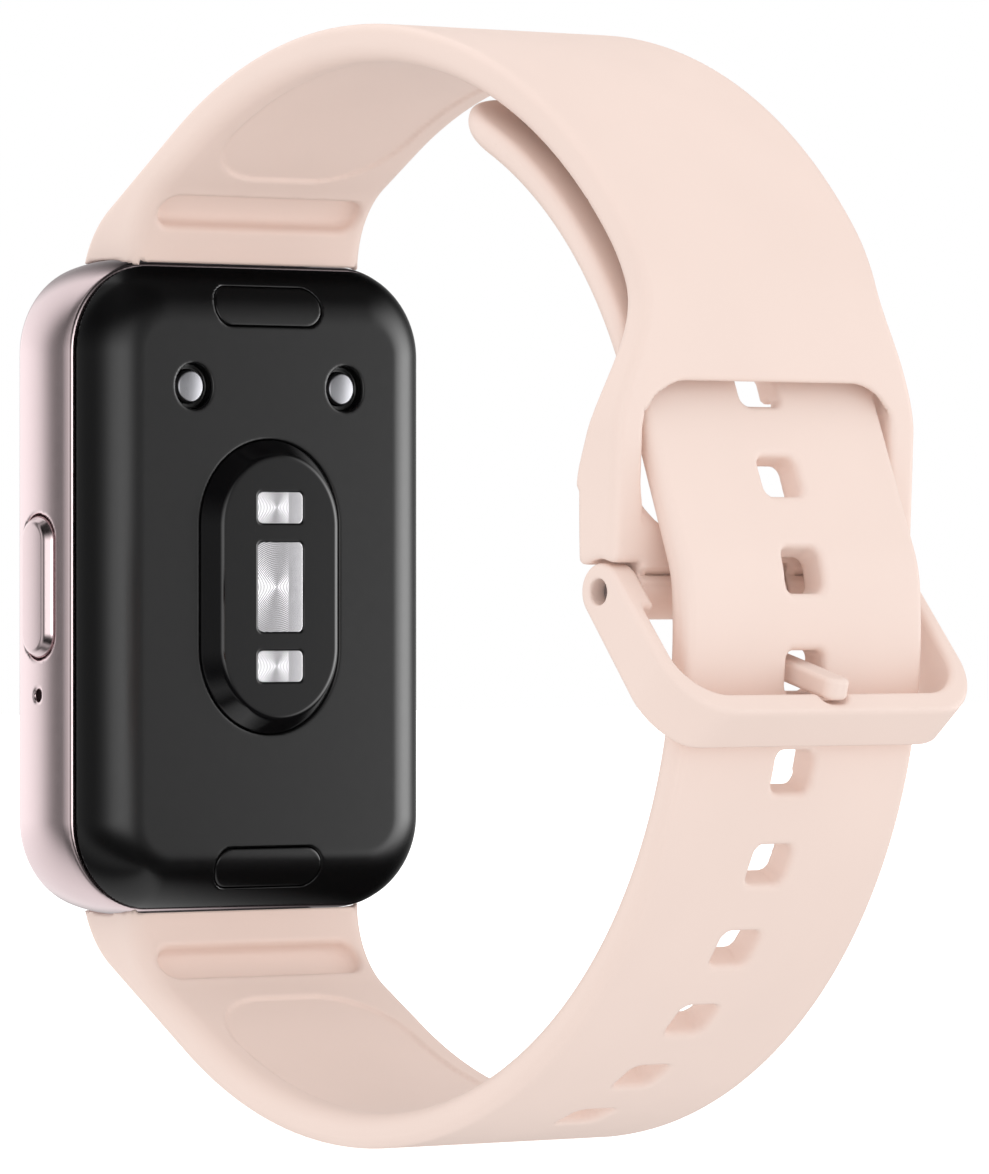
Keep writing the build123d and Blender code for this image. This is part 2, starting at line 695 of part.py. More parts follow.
def frame_opening():
    """The gap between the arms, wider past the eyes, with rounded corners at the crossbar."""
    narrow = FRAME_WIDTH - 2 * ARM_EYE_WIDTH
    wide = FRAME_WIDTH - 2 * ARM_WIDTH
    entry = Rectangle(4 * FRAME_EYE_R + ARM_STEP, narrow, align=(Align.MIN, Align.CENTER))
    run = OPENING_END - ARM_STEP
    room = Rectangle(run, wide, align=(Align.MIN, Align.CENTER))
    room = Pos(ARM_STEP, 0) * room
    room = fillet(room.vertices().group_by(Axis.X)[-1], OPENING_R)
    room = fillet(room.vertices().group_by(Axis.X)[0], ARM_STEP_R)
    return Pos(-4 * FRAME_EYE_R, 0) * entry + room


def buckle_frame():
    bar = extrude(BUCKLE_SIDE * frame_side(), FRAME_WIDTH / 2, both=True)
    start = -2 * FRAME_EYE_R
    plan = Rectangle(FRAME_LENGTH - start, FRAME_WIDTH, align=(Align.MIN, Align.CENTER))
    plan = Pos(start, 0) * plan
    plan = fillet(plan.vertices().group_by(Axis.X)[-1], FRAME_CORNER_R)
    bar &= extrude(BUCKLE_PLAN * plan, 2 * FRAME_END_HALF, both=True)
    bar = fillet(bar.edges(), FRAME_EDGE_R)
    bar -= extrude(BUCKLE_PLAN * frame_opening(), 2 * FRAME_END_HALF, both=True)
    bar -= pin_bore()
    bar -= strap_room()
    return bar - tongue_bar(NOTCH_GAP)


# ---------------------------------------------------------------- strap connectors and release

def connector_head(grow=0.0, sign=1):
    """The connector's head at one end of the tracker, or the room for it inside the strap."""
    height = CONNECTOR_HEAD_TOP + grow - CONNECTOR_SHOULDER
    outline = rounded(CONNECTOR_HEAD_WIDTH + 2 * grow, height, CONNECTOR_HEAD_R)
    outline = Pos(0, sign * (CONNECTOR_SHOULDER + height / 2)) * outline
    return slab(outline, CONNECTOR_HEAD_START - grow, CONNECTOR_HEAD_END + grow)


def strap_connector():
    tip = POCKET_FLOOR_Z + CONNECTOR_TIP_GAP
    height = CONNECTOR_SHOULDER + CONNECTOR_HEAD_R - tip
    outline = rounded(CONNECTOR_TONGUE_WIDTH, height, CONNECTOR_TONGUE_R)
    outline = Pos(0, tip + height / 2) * outline
    tongue = slab(outline, CONNECTOR_TONGUE_START, CONNECTOR_TONGUE_END)
    recess = Rectangle(2 * CONNECTOR_TONGUE_WIDTH, LEG_HEIGHT + 2 * LATCH_GAP)
    bottom = CONNECTOR_TONGUE_END - LATCH_RECESS
    cut = slab(Pos(0, RELEASE_Z) * recess, bottom, CONNECTOR_TONGUE_END + 1)
    return connector_head() + tongue - cut


def bar_start():
    """Depth of the latch bar's face that sits in the connector's recess."""
    return CONNECTOR_TONGUE_END - LATCH_BITE


def release_button():
    """Pill cap, hidden flange, two legs and the latch bar that joins them."""
    cap_outline = SlotOverall(RELEASE_LENGTH, RELEASE_WIDTH)
    cap = slab(cap_outline, -1, PARTING_DEPTH + SKIN_GAP)
    flange_outline = SlotOverall(
        RELEASE_LENGTH + 2 * RELEASE_FLANGE, RELEASE_WIDTH + RELEASE_FLANGE
    )
    flange_start = PARTING_DEPTH + SKIN_GAP
    flange_end = flange_start + RELEASE_FLANGE_THICKNESS
    flange = slab(flange_outline, flange_start, flange_end)
    reach = CONNECTOR_TONGUE_WIDTH / 2 + LEG_GAP
    bar_end = bar_start() + BAR_THICKNESS
    button = cap + flange
    for side in (-1, 1):
        place = Pos(side * (reach + LEG_WIDTH / 2), 0)
        button += slab(place * Rectangle(LEG_WIDTH, LEG_HEIGHT), flange_end, bar_end)
    bar = Rectangle(2 * (reach + LEG_WIDTH), LEG_HEIGHT)
    button += slab(bar, bar_start(), bar_end)
    return (Pos(0, 0, RELEASE_Z) * button) & tracker_envelope(-SKIN_GAP)


def release_spring():
    """A bowed leaf between the pocket's floor and the latch bar."""
    crown = depth_x(bar_start() + BAR_THICKNESS + RUNNING_GAP)
    floor = depth_x(POCKET_END)
    half = CONNECTOR_TONGUE_WIDTH / 2 + LEG_WIDTH
    bow = ThreePointArc(
        (floor + SPRING_THICKNESS / 2, -half),
        (crown - SPRING_THICKNESS / 2, 0),
        (floor + SPRING_THICKNESS / 2, half),
    )
    spring = extrude(Plane.XY * trace(bow, SPRING_THICKNESS), SPRING_WIDTH / 2, both=True)
    above_floor = Rectangle(2 * half, 4 * half, align=(Align.MIN, Align.CENTER))
    above_floor = Pos(floor, 0) * above_floor
    spring &= extrude(Plane.XY * above_floor, SPRING_WIDTH, both=True)
    return Pos(0, 0, RELEASE_Z) * spring


def strap_pocket():
    """The hollow in the tracker's end that takes the connector and the release button."""
    height = BODY_HEIGHT / 2 + 1 - POCKET_FLOOR_Z
    outline = Pos(0, POCKET_FLOOR_Z + height / 2) * Rectangle(POCKET_WIDTH, height)
    pocket = slab(outline, POCKET_START, POCKET_END)
    well = SlotOverall(
        RELEASE_LENGTH + 2 * RELEASE_FLANGE + 2 * SLIDE_GAP,
        RELEASE_WIDTH + RELEASE_FLANGE + 2 * SLIDE_GAP,
    )
    return pocket + slab(Pos(0, RELEASE_Z) * well, PARTING_DEPTH - 0.5, POCKET_START + 0.5)


# ---------------------------------------------------------------- side button and vent

def side_face(outline, start_y, end_y):
    """An X-Z outline at the side button's depth made solid between two Y values."""
    return extrude(Plane.XZ.offset(-end_y) * outline, end_y - start_y)


SIDE_Y = -BODY_WIDTH / 2
INNER_Y = -CAVITY_WIDTH / 2
BUTTON_X = depth_x(SIDE_BUTTON_DEPTH)
CAP_INNER_Y = SIDE_Y + SIDE_BUTTON_WELL - SIDE_BUTTON_TRAVEL - SKIN_GAP
CLIP_Y = INNER_Y + SKIN_GAP


def side_button():
    outline = Pos(BUTTON_X, 0) * stadium(SIDE_BUTTON_LENGTH, SIDE_BUTTON_WIDTH)
    cap = side_face(outline, SIDE_Y - SIDE_BUTTON_PROUD, CAP_INNER_Y)
    cap = chamfer(cap.faces().sort_by(Axis.Y)[0].edges(), SIDE_BUTTON_EDGE, SIDE_BUTTON_EDGE)
    stem = side_face(Pos(BUTTON_X, 0) * Circle(STEM_R), CAP_INNER_Y, CLIP_Y + 2 * CLIP_THICKNESS)
    return cap + stem


def button_clip():
    ring = Circle(CLIP_R) - Circle(STEM_R) - Pos(0, -CLIP_R) * Rectangle(CLIP_MOUTH, CLIP_R)
    return side_face(Pos(BUTTON_X, 0) * ring, CLIP_Y, CLIP_Y + CLIP_THICKNESS)


def button_seal():
    ring = Circle(STEM_R + SEAL_WIDTH) - Circle(STEM_R + RUNNING_GAP)
    return side_face(Pos(BUTTON_X, 0) * ring, INNER_Y - SEAL_THICKNESS, INNER_Y)


def button_switch():
    """A tactile switch standing on the bracket, with its plunger at the stem's end."""
    tip_y = CLIP_Y + 2 * CLIP_THICKNESS + SIDE_BUTTON_TRAVEL + SKIN_GAP
    face_y = tip_y + PLUNGER_LENGTH
    foot = BRACKET_DEPTH - BRACKET_PLATE
    depth = foot - SIDE_BUTTON_DEPTH + SWITCH_SIZE / 2
    outline = Pos(depth_x(foot - depth / 2), 0) * Rectangle(depth, SWITCH_SIZE)
    body = side_face(outline, face_y, face_y + SWITCH_THICKNESS)
    plunger = side_face(Pos(BUTTON_X, 0) * Circle(PLUNGER_R), tip_y, face_y)
    return body + plunger


def side_wall_cuts():
    """The button's well and stem hole, the seal's seat, the vent hole and its membrane's seat."""
    well = stadium(SIDE_BUTTON_LENGTH + 2 * SLIDE_GAP, SIDE_BUTTON_WIDTH + 2 * SLIDE_GAP)
    cuts = side_face(Pos(BUTTON_X, 0) * well, SIDE_Y - 1, SIDE_Y + SIDE_BUTTON_WELL)
    stem = Pos(BUTTON_X, 0) * Circle(STEM_R + RUNNING_GAP)
    cuts += side_face(stem, SIDE_Y, INNER_Y + 1)
    seat = Pos(BUTTON_X, 0) * Circle(STEM_R + SEAL_WIDTH)
    cuts += side_face(seat, INNER_Y - SEAL_THICKNESS, INNER_Y + 1)
    vent = Pos(BUTTON_X, VENT_Z)
    cuts += side_face(vent * Circle(VENT_R), SIDE_Y - 1, INNER_Y + 1)
    membrane = vent * Circle(VENT_MEMBRANE_R)
    return cuts + side_face(membrane, INNER_Y - VENT_MEMBRANE_THICKNESS, INNER_Y + 1)


def vent_membrane():
    disc = Pos(BUTTON_X, VENT_Z) * Circle(VENT_MEMBRANE_R)
    return side_face(disc, INNER_Y - VENT_MEMBRANE_THICKNESS, INNER_Y)


# ---------------------------------------------------------------- housing and display

def housing_frame():
    body = tracker_envelope()
    body &= slab(Rectangle(2 * BODY_WIDTH, 2 * BODY_HEIGHT), PARTING_DEPTH, LIP_DEPTH + 1)
    body -= slab(cavity_outline(), PARTING_DEPTH - 1, BRACKET_DEPTH + BRACKET_GAP / 2)
    body -= slab(panel_bay(), PANEL_BAY_DEPTH, LIP_DEPTH + 1)
    pocket = rounded(
        GLASS_WIDTH + 2 * GLASS_GAP, GLASS_HEIGHT + 2 * GLASS_GAP, GLASS_CORNER_R + GLASS_GAP
    )
    body -= slab(pocket, GLASS_SEAT_DEPTH, LIP_DEPTH + 1)
    body -= slab(gasket_ring(), PARTING_DEPTH - 1, PARTING_DEPTH + GASKET_HEIGHT)
    body -= strap_pocket()
    body -= mirrored(strap_pocket())
    return body - side_wall_cuts()


def panel_bay():
    return rounded(
        PANEL_WIDTH + 2 * PANEL_GAP, PANEL_HEIGHT + 2 * PANEL_GAP, PANEL_CORNER_R + PANEL_GAP
    )


def display_glass():
    outline = rounded(GLASS_WIDTH, GLASS_HEIGHT, GLASS_CORNER_R)
    glass = slab(outline, BODY_DEPTH - GLASS_THICKNESS, BODY_DEPTH)
    return chamfer(glass.faces().sort_by(Axis.X)[0].edges(), GLASS_EDGE)


def display_adhesive():
    ring = rounded(GLASS_WIDTH, GLASS_HEIGHT, GLASS_CORNER_R) - panel_bay()
    return slab(ring, GLASS_SEAT_DEPTH, GLASS_SEAT_DEPTH + ADHESIVE_THICKNESS)


def display_panel():
    front = BODY_DEPTH - GLASS_THICKNESS
    outline = rounded(PANEL_WIDTH, PANEL_HEIGHT, PANEL_CORNER_R)
    return slab(outline, front - PANEL_THICKNESS, front)


# ---------------------------------------------------------------- back cover and sensor


LENSES = [
    (END_LENS_HEIGHT, END_LENS_Z),
    (CENTRE_LENS_HEIGHT, 0.0),
    (END_LENS_HEIGHT, -END_LENS_Z),
]

def dome_outline(width):
    return stadium(DOME_HEIGHT - DOME_WIDTH + width, width)


def back_cover():
    cover = tracker_envelope()
    cover &= slab(Rectangle(2 * BODY_WIDTH, 2 * BODY_HEIGHT), -1, PARTING_DEPTH)
    cover -= slab(cavity_outline(), COVER_WALL, PARTING_DEPTH + 1)
    cover -= slab(dome_outline(DOME_WIDTH + 2 * SKIN_GAP), -1, COVER_WALL + 1)
    pill = SlotOverall(RELEASE_LENGTH + 2 * SLIDE_GAP, RELEASE_WIDTH + 2 * SLIDE_GAP)
    for sign in (-1, 1):
        cover -= slab(Pos(0, sign * RELEASE_Z) * pill, -1, PARTING_DEPTH + 1)
        spot = Pos(sign * CONTACT_SPACING / 2, CONTACT_Z)
        cover -= slab(spot * Circle(CONTACT_RECESS_R), -1, CONTACT_RECESS)
        cover -= slab(spot * Circle(CONTACT_R), -1, COVER_WALL + 1)
    return cover


def back_gasket():
    return slab(gasket_ring(), PARTING_DEPTH, PARTING_DEPTH + GASKET_HEIGHT)


def sensor_dome():
    """Raised oval window: tapered crown, straight plug in the cover, flange behind it."""
    taper = math.degrees(math.atan((DOME_WIDTH - DOME_TOP_WIDTH) / 2 / DOME_RISE))
    base = Plane.YZ.offset(BACK_X) * dome_outline(DOME_WIDTH)
    crown = extrude(base, DOME_RISE, taper=taper)
    crown = chamfer(crown.faces().sort_by(Axis.X)[-1].edges(), DOME_TOP_EDGE)
    plug = slab(dome_outline(DOME_WIDTH), 0, COVER_WALL)
    flange_end = COVER_WALL + DOME_FLANGE_THICKNESS
    flange = slab(dome_outline(DOME_WIDTH + 2 * DOME_FLANGE), COVER_WALL, flange_end)
    room = slab(dome_outline(DOME_TOP_WIDTH - 2 * DOME_WALL), DOME_WALL - DOME_RISE, flange_end)
    dome = crown + plug + flange - room
    for height, place in LENSES:
        dome -= slab(Pos(0, place) * rounded(LENS_WIDTH, height, LENS_R), -DOME_RISE, 0)
    return dome



def sensor_lens(height, place):
    outline = Pos(0, place) * rounded(LENS_WIDTH, height, LENS_R)
    return slab(outline, -DOME_RISE, LENS_THICKNESS - DOME_RISE)


def sensor_board():
    start = COVER_WALL + DOME_FLANGE_THICKNESS
    outline = dome_outline(DOME_WIDTH + 2 * DOME_FLANGE - 2 * SENSOR_BOARD_GAP)
    return slab(outline, start, start + BOARD_THICKNESS)


def sensor_chips():
    """Light source in the middle and two light detectors, all on the sensor board."""
    start = COVER_WALL + DOME_FLANGE_THICKNESS
    chips = []
    for place in (-END_LENS_Z, 0, END_LENS_Z):
        outline = Pos(0, place) * Rectangle(SENSOR_CHIP, SENSOR_CHIP)
        chips.append(slab(outline, start - SENSOR_CHIP_HEIGHT, start))
    return Compound(children=chips)


def charging_contact(side):
    spot = Pos(side * CONTACT_SPACING / 2, CONTACT_Z)
    pin = slab(spot * Circle(CONTACT_R), CONTACT_RECESS, COVER_WALL)
    pin = chamfer(pin.faces().sort_by(Axis.X)[-1].edges(), CONTACT_EDGE)
    return pin + slab(spot * Circle(CONTACT_RECESS_R), COVER_WALL, COVER_WALL + CONTACT_FLANGE)


# ---------------------------------------------------------------- inside the tracker

def bracket_outline(offset_by=0.0):
    return cavity_outline(-BRACKET_GAP - offset_by)


def switch_bay():
    """Room for the button's switch at the middle of the cavity's side."""
    bay = Rectangle(2 * SWITCH_BAY, 2 * SWITCH_SIZE)
    return Pos(-CAVITY_WIDTH / 2, 0) * bay


def inner_bracket():
    """Tray that carries the battery, the motor and the main board."""
    plate_back = BRACKET_DEPTH - BRACKET_PLATE
    tray = slab(bracket_outline(), plate_back, BRACKET_DEPTH)
    rim = bracket_outline() - bracket_outline(BRACKET_RIM)
    tray += slab(rim, BOARD_FRONT_DEPTH, plate_back)
    for spot in SCREW_PLACES:
        tray += slab(Pos(*spot) * Circle(BOSS_R), BOARD_FRONT_DEPTH, plate_back)
    tray -= slab(switch_bay(), BOARD_FRONT_DEPTH - 1, plate_back)
    for spot in SCREW_PLACES:
        tray -= slab(Pos(*spot) * Circle(SCREW_R), BOARD_FRONT_DEPTH - 1, plate_back)
    return tray


def bracket_screws():
    board_back = BOARD_FRONT_DEPTH - BOARD_THICKNESS
    screws = []
    for spot in SCREW_PLACES:
        shank = slab(Pos(*spot) * Circle(SCREW_R), board_back, board_back + SCREW_LENGTH)
        head = slab(Pos(*spot) * Circle(SCREW_HEAD_R), board_back - SCREW_HEAD, board_back)
        screws.append(shank + head)
    return Compound(children=screws)


def main_board():
    board_back = BOARD_FRONT_DEPTH - BOARD_THICKNESS
    outline = bracket_outline(BOARD_GAP) - switch_bay()
    for spot in SCREW_PLACES:
        outline -= Pos(*spot) * Circle(SCREW_R + RUNNING_GAP)
    return slab(outline, board_back, BOARD_FRONT_DEPTH)


def shield_can():
    """Pressed cover over the main board's chips."""
    board_back = BOARD_FRONT_DEPTH - BOARD_THICKNESS
    outline = rounded(CAVITY_WIDTH - 2 * SHIELD_SIDE_ROOM, SHIELD_LENGTH, SHIELD_CORNER_R)
    can = slab(outline, board_back - SHIELD_HEIGHT, board_back)
    can = chamfer(can.faces().sort_by(Axis.X)[-1].edges(), SHIELD_EDGE)
    return Pos(0, 0, -CAVITY_HEIGHT / 2 + SHIELD_LENGTH / 2 + SHIELD_INSET) * can


def battery():
    front = BRACKET_DEPTH - BRACKET_PLATE
    width = CAVITY_WIDTH - BATTERY_BUTTON_ROOM - BATTERY_SIDE_ROOM
    height = CAVITY_HEIGHT - BATTERY_MOTOR_ROOM - BATTERY_END_ROOM
    middle_y = (BATTERY_BUTTON_ROOM - BATTERY_SIDE_ROOM) / 2
    middle_z = (BATTERY_END_ROOM - BATTERY_MOTOR_ROOM) / 2
    cell = Pos(middle_y, middle_z) * rounded(width, height, BATTERY_R)
    return slab(cell, front - BATTERY_THICKNESS, front)


def motor_case():
    front = BRACKET_DEPTH - BRACKET_PLATE
    spot = Pos(MOTOR_Y, MOTOR_Z)
    case = slab(spot * Circle(MOTOR_R), front - MOTOR_HEIGHT, front)
    inside = spot * Circle(MOTOR_R - MOTOR_WALL)
    return case - slab(inside, front - MOTOR_HEIGHT + MOTOR_WALL, front - MOTOR_WALL)


def mass_start():
    """Depth of the moving mass's back face, midway in its case."""
    front = BRACKET_DEPTH - BRACKET_PLATE
    return front - MOTOR_HEIGHT / 2 - MASS_HEIGHT / 2


def motor_mass():
    disc = Circle(MASS_R) - Circle(MASS_BORE_R)
    return slab(Pos(MOTOR_Y, MOTOR_Z) * disc, mass_start(), mass_start() + MASS_HEIGHT)


def motor_spring():
    """Cone-shaped leaf between the moving mass and the case's floor."""
    top = depth_x(mass_start() + MASS_HEIGHT)
    floor = depth_x(BRACKET_DEPTH - BRACKET_PLATE - MOTOR_WALL)
    outer = MOTOR_R - MOTOR_WALL - RUNNING_GAP
    inner = MASS_R / 2
    seat = inner + LEAF_SEAT
    section = Polygon(
        (inner, top - LEAF_THICKNESS),
        (seat, top - LEAF_THICKNESS),
        (outer, floor),
        (outer, floor + LEAF_THICKNESS),
        (seat, top),
        (inner, top),
        align=None,
    )
    axis_plane = Plane(origin=(0, MOTOR_Y, MOTOR_Z), x_dir=(0, 1, 0), z_dir=(0, 0, -1))
    return revolve(axis_plane * section, Axis((0, MOTOR_Y, MOTOR_Z), (1, 0, 0)))


# ---------------------------------------------------------------- write

def nodes():
    connector = strap_connector()
    button = release_button()
    spring = release_spring()
    lens_names = ("sensor_lens_top", "sensor_lens_centre", "sensor_lens_bottom")
    made = {
        "housing_frame": housing_frame(),
        "display_glass": display_glass(),
        "display_adhesive": display_adhesive(),
        "display_panel": display_panel(),
        "back_cover": back_cover(),
        "back_gasket": back_gasket(),
        "sensor_dome": sensor_dome(),
        "sensor_board": sensor_board(),
        "sensor_chips": sensor_chips(),
        "charging_contact_left": charging_contact(-1),
        "charging_contact_right": charging_contact(1),
        "side_button": side_button(),
        "button_clip": button_clip(),
        "button_seal": button_seal(),
        "button_switch": button_switch(),
        "vent_membrane": vent_membrane(),
        "inner_bracket": inner_bracket(),
        "bracket_screws": bracket_screws(),
        "main_board": main_board(),
        "shield_can": shield_can(),
        "battery": battery(),
        "vibration_motor_case": motor_case(),
        "vibration_motor_mass": motor_mass(),
        "vibration_motor_spring": motor_spring(),
        "strap_connector_top": connector,
        "strap_connector_bottom": mirrored(connector),
        "release_button_top": button,
        "release_button_bottom": mirrored(button),
        "release_spring_top": spring,
        "release_spring_bottom": mirrored(spring),
        "upper_strap": upper_strap(),
        "lower_strap": lower_strap(),
        "buckle_pin": buckle_pin(),
        "buckle_frame": buckle_frame(),
        "buckle_tongue": buckle_tongue(),
    }
    for name, (height, place) in zip(lens_names, LENSES):
        made[name] = sensor_lens(height, place)
    return made


os.makedirs("parts", exist_ok=True)
for node, shape in nodes().items():
    export_step(shape, f"parts/{node}.step")
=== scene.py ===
"""Looks of a fitness tracker band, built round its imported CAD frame.

The strap halves, the buckle, the tracker's shell, its button and its sensor are modelled here as
moulded meshes. The other nodes keep their meshes and get procedural materials. Lengths in the
shape code are millimetres in the frame's axes; objects are made in metres.
"""

import json
import math

import bpy
import numpy as np
import openvdb
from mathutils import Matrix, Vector


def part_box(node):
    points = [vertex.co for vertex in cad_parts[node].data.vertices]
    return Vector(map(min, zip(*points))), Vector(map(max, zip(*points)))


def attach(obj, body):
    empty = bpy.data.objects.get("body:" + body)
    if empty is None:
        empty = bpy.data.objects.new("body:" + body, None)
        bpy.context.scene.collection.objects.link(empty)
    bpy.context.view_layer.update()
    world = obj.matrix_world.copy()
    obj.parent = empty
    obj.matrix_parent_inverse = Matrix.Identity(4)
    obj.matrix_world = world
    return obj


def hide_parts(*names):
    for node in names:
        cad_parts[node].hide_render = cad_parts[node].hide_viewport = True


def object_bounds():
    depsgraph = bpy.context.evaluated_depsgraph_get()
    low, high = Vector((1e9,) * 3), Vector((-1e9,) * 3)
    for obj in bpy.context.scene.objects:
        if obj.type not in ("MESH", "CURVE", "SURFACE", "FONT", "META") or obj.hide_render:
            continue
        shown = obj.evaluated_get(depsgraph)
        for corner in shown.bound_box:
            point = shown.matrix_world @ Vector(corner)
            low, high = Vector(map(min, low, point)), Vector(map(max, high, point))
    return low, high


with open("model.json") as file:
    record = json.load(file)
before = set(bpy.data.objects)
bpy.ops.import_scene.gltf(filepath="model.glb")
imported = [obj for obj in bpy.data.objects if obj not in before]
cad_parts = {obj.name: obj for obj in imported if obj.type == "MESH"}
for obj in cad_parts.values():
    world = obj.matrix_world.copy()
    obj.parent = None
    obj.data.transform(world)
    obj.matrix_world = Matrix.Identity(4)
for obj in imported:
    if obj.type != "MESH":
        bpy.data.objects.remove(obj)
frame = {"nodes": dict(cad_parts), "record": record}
cad_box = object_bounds()

MM = 0.001

# ---------------------------------------------------------------- strap lines, in the X-Z plane

# A round is (x, z, radius). Depths are counted from the tracker's back face towards the display.

BACK_X = -24.0
BODY_WIDTH = 28.8
BODY_HEIGHT = 42.9
BODY_CORNER_R = 6.2
BACK_EDGE_R = 4.1
BACK_LEAN = math.radians(8.0)
SIDE_BOW_R = 14.0
FRONT_EDGE_R = 1.25
LIP_DEPTH = 9.3
SKIN_GAP = 0.05
STRAP_HALF = 9.5
UPPER_THICKNESS = 2.35
LOWER_THICKNESS = 2.2
TAIL_THICKNESS = 1.95
LOOP_X = -3.0
CROWN = (LOOP_X, 1.5, 34.0)
LOWER = (LOOP_X, -2.3, 33.1)
ROOT = (BACK_X - 1.39, 18.97, 7.0)
ROOT_INNER = (-20.1, 21.07, 6.0)
STRAP_END_DROP = 0.85
STRAP_END_Z = BODY_HEIGHT / 2 - STRAP_END_DROP
SHOULDER_ANGLE = 38.0
SHOULDER_R = 13.8
SHOULDER_INNER_R = 11.15
TAIL_GAP = 1.3
TAIL_END_ANGLE = 74.0
TAIL_TIP_R = 6.0
BEND_R = 8.0
BEND_ANGLE = 3.8
PIN_X = 24.75
PIN_Z = -0.3
HUB_SETBACK = 0.45
HUB_R = 1.75
HUB = (PIN_X - HUB_SETBACK, PIN_Z, HUB_R)
STRAP_GAP = 0.3
OVERRUN = 6.0
SHORTEST_PIECE = 1e-5
TURN_SLACK = 1e-7
FAR = 1e9


def on_round(disc, angle):
    """The point of a round (x, z, radius) at a polar angle in degrees."""
    turn = math.radians(angle)
    return (disc[0] + disc[2] * math.cos(turn), disc[1] + disc[2] * math.sin(turn))


def touch_angle(first, second, side):
    """Polar angle at which one straight line touches both rounds on the same side."""
    run = first[0] - second[0]
    rise = first[1] - second[1]
    lean = (second[2] - first[2]) / math.hypot(run, rise)
    return math.degrees(math.atan2(rise, run) + side * math.acos(max(-1.0, min(1.0, lean))))


def nested(outer, angle, radius):
    """A smaller round inside another, touching it at a polar angle."""
    centre = on_round((outer[0], outer[1], outer[2] - radius), angle)
    return (centre[0], centre[1], radius)


def shrunk(disc, amount):
    """The same round with a smaller radius."""
    return (disc[0], disc[1], disc[2] - amount)


def below(disc):
    """The round mirrored to the lower half of the loop."""
    return (disc[0], -disc[1], disc[2])


CROWN_INNER = shrunk(CROWN, UPPER_THICKNESS)
SHOULDER = nested(CROWN, SHOULDER_ANGLE, SHOULDER_R)
SHOULDER_INNER = nested(CROWN_INNER, SHOULDER_ANGLE, SHOULDER_INNER_R)
BEND = nested(LOWER, BEND_ANGLE, BEND_R)
TAIL = shrunk(CROWN_INNER, TAIL_GAP)
ROOT_START = 180.0 - math.degrees(math.asin((STRAP_END_Z - ROOT[1]) / ROOT[2]))


class Trail:
    """A chain of arcs and lines in the X-Z plane that knows signed distance and length along it."""

    def __init__(self):
        self.pieces = []
        self.length = 0.0

    def arc(self, disc, start, sweep, out=1):
        """Adds an arc; start and sweep are in degrees."""
        turn = math.radians(sweep)
        self.pieces.append(("arc", disc, math.radians(start), turn, out, self.length))
        self.length += abs(turn) * disc[2]
        return self

    def line(self, begin, end, out=1):
        """Adds a straight line."""
        self.pieces.append(("line", begin, end, None, out, self.length))
        self.length += math.dist(begin, end)
        return self

    def spot(self, along):
        """The point at a length along the trail."""
        for kind, first, second, sweep, _, before in self.pieces:
            if kind == "arc":
                size = abs(sweep) * first[2]
            else:
                size = math.dist(first, second)
            if along <= before + size:
                break
        if kind == "arc":
            angle = second + math.copysign((along - before) / first[2], sweep)
            return on_round(first, math.degrees(angle))
        share = (along - before) / size
        return tuple(begin + share * (end - begin) for begin, end in zip(first, second))

    def measure(self, x, z):
        """Signed distance, positive on the out side, and length along the trail."""
        best = np.full(np.broadcast(x, z).shape, FAR, np.float64)
        signed = np.full(best.shape, -FAR, np.float64)
        along = np.zeros(best.shape, np.float64)
        for kind, first, second, sweep, out, before in self.pieces:
            if kind == "arc":
                gap, side, run = arc_measure(x, z, first, second, sweep)
            else:
                gap, side, run = line_measure(x, z, first, second)
            closer = gap < best
            best = np.where(closer, gap, best)
            signed = np.where(closer, np.sign(out * side) * gap, signed)
            along = np.where(closer, before + run, along)
        return signed, along


def arc_measure(x, z, disc, start, sweep):
    """Distance to an arc, the side (positive outside the round) and the length to its foot."""
    dx = x - disc[0]
    dz = z - disc[1]
    reach = np.hypot(dx, dz)
    turned = (np.arctan2(dz, dx) - start) * math.copysign(1.0, sweep)
    turned = np.mod(turned + math.pi - abs(sweep) / 2, 2 * math.pi) - math.pi + abs(sweep) / 2
    kept = np.clip(turned, 0.0, abs(sweep))
    angle = start + math.copysign(1.0, sweep) * kept
    foot_x = disc[0] + disc[2] * np.cos(angle)
    foot_z = disc[1] + disc[2] * np.sin(angle)
    gap = np.hypot(x - foot_x, z - foot_z)
    return gap, reach - disc[2], kept * disc[2]


def line_measure(x, z, begin, end):
    """Distance to a line, the side (positive to its right) and the length to its foot."""
    size = math.dist(begin, end)
    ux = (end[0] - begin[0]) / size
    uz = (end[1] - begin[1]) / size
    dx = x - begin[0]
    dz = z - begin[1]
    run = np.clip(dx * ux + dz * uz, 0.0, size)
    gap = np.hypot(dx - run * ux, dz - run * uz)
    return gap, dx * uz - dz * ux, run


def belt(rounds, start, end, side):
    """A trail over a row of rounds; side 1 is anticlockwise. It runs on straight at both ends."""
    turns = [start]
    for first, second in zip(rounds, rounds[1:]):
        turns.append(touch_angle(first, second, side))
    turns.append(end)
    trail = Trail()
    first_point = on_round(rounds[0], start)
    lead = tangent(start, side)
    before = (first_point[0] - OVERRUN * lead[0], first_point[1] - OVERRUN * lead[1])
    trail.line(before, first_point, side)
    for number, disc in enumerate(rounds):
        sweep = side * ((side * (turns[number + 1] - turns[number]) + TURN_SLACK) % 360)
        if abs(sweep) > SHORTEST_PIECE:
            trail.arc(disc, turns[number], sweep)
        if number + 1 < len(rounds):
            leave = on_round(disc, turns[number + 1])
            arrive = on_round(rounds[number + 1], turns[number + 1])
            if math.dist(leave, arrive) > SHORTEST_PIECE:
                trail.line(leave, arrive, side)
    last_point = on_round(rounds[-1], end)
    lead = tangent(end, side)
    after = (last_point[0] + OVERRUN * lead[0], last_point[1] + OVERRUN * lead[1])
    trail.line(last_point, after, side)
    return trail


